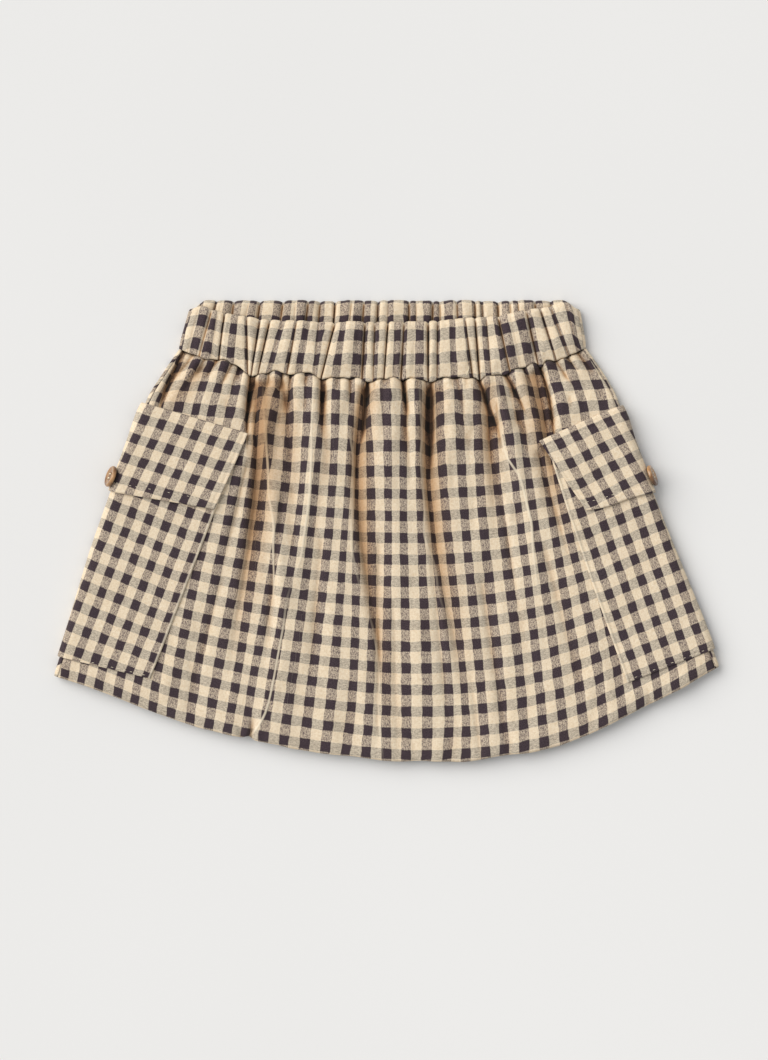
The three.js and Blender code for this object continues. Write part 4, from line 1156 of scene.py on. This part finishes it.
def button_disc(name, place):
    """A turned disc as a polar grid: radius and height go along BUTTON_PROFILE, and four round pits
    are let into the face: depth x smooth edge of the distance to each hole's middle."""
    row = np.linspace(0, len(BUTTON_PROFILE) - 1, 91)
    radius, height = (np.interp(row, np.arange(len(BUTTON_PROFILE)), BUTTON_PROFILE[:, k]) for k in (0, 1))
    angle = np.linspace(0, 2 * PI, 97)
    x, z = radius[:, None] * np.cos(angle), radius[:, None] * np.sin(angle)
    y = height[:, None] + 0 * x
    for hole_x, hole_z in ((1, 1), (1, -1), (-1, 1), (-1, -1)):
        apart = np.hypot(x - hole_x * HOLE_PLACE, z - hole_z * HOLE_PLACE)
        pit = HOLE_DEPTH * (1 - smooth((apart - HOLE_RADIUS) / 0.3))
        y = y - np.where((row < 8)[:, None], pit, 0)
    faces = grid_faces(*x.shape, 0, True).tolist()
    piece = add_mesh(name, place(x, y, z).reshape(-1, 3), faces, material=HORN)
    loose = bmesh.new()
    loose.from_mesh(piece.data)
    bmesh.ops.remove_doubles(loose, verts=loose.verts, dist=1e-6)
    bmesh.ops.recalc_face_normals(loose, faces=loose.faces)
    loose.to_mesh(piece.data)
    loose.free()
    piece.data.polygons.foreach_set("use_smooth", np.ones(len(piece.data.polygons), dtype=bool))
    return piece


def button(way, side):
    """The disc on its seat, and two bars of two threads each between its holes"""
    seat, out = button_seat(way)
    across = unit(np.cross(out, (0, 1.0, 0)))
    up = np.cross(across, out)

    def place(x, y, z):
        """x and z across the button, y above its underside"""
        return seat + out * (BUTTON_GAP + y)[..., None] + across * x[..., None] + up * z[..., None]

    s = np.linspace(-1, 1, 24)
    height = BUTTON_THICK - 0.62 + 0.35 * np.sqrt(np.maximum(1 - s**4, 0))
    normals = np.repeat(out[None], len(s), 0)
    runs = [(place(1.2 * s, height, bar + shift + 0 * s), normals, 2.3, 0.01, 0.2)
            for bar in (-HOLE_PLACE, HOLE_PLACE) for shift in (-0.16, 0.16)]
    return button_disc(side + "_button_disc", place), sewing(side + "_button_thread", runs)


# All the pieces, put together
fronts, backs = front_panel(), back_panel()
front_belt, back_belt = front_band(), back_band()
for piece, node in (
    (fronts, "front_panel"), (backs, "back_panel"),
    (front_belt, "front_waistband"), (back_belt, "back_waistband"),
):
    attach(piece, "root")
    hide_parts(node)
for way, side in ((-1, "left"), (1, "right")):
    bag, lid = pocket(way, side), flap(way, side)
    thread = patch_sewing(side, way)
    disc, tie = button(way, side)
    for piece, node in ((bag, side + "_pocket"), (lid, side + "_flap"), (disc, side + "_button")):
        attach(piece, "root")
        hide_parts(node)
    for piece in (thread, tie):
        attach(piece, "root")

tail = loose_thread()
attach(tail, "root")

# Table, light and camera
corners = 3000 * np.array([(-1, -1, 0), (1, -1, 0), (1, 1, 0), (-1, 1, 0)])
table = add_mesh("table", corners, [[0, 1, 2, 3]], material=TABLE, smooth_faces=False)
table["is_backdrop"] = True

sun = bpy.data.lights.new("window", "SUN")
sun.energy, sun.angle, sun.color = 2.7, 0.95, (1.0, 0.985, 0.97)
window = bpy.data.objects.new("window", sun)
window.rotation_euler = (np.radians(51), 0, np.radians(-119))
bpy.context.scene.collection.objects.link(window)
world = bpy.data.worlds.new("studio")
world.use_nodes = True
world.node_tree.nodes["Background"].inputs["Color"].default_value = (0.97, 0.985, 1.0, 1)
world.node_tree.nodes["Background"].inputs["Strength"].default_value = 0.535
bpy.context.scene.world = world
bpy.context.scene.view_settings.view_transform = "Standard"

camera = bpy.data.cameras.new("camera")
camera.sensor_width, camera.sensor_fit, camera.lens = 36, "AUTO", 120
eye = bpy.data.objects.new("camera", camera)
eye.location = (-1.3 * MM, 0.52 * MM, 1.8415)
bpy.context.scene.collection.objects.link(eye)
bpy.context.scene.camera = eye

plain = lambda box: [[float(v) for v in corner] for corner in box]
{"cad": plain(cad_box), "visual": plain(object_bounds())}
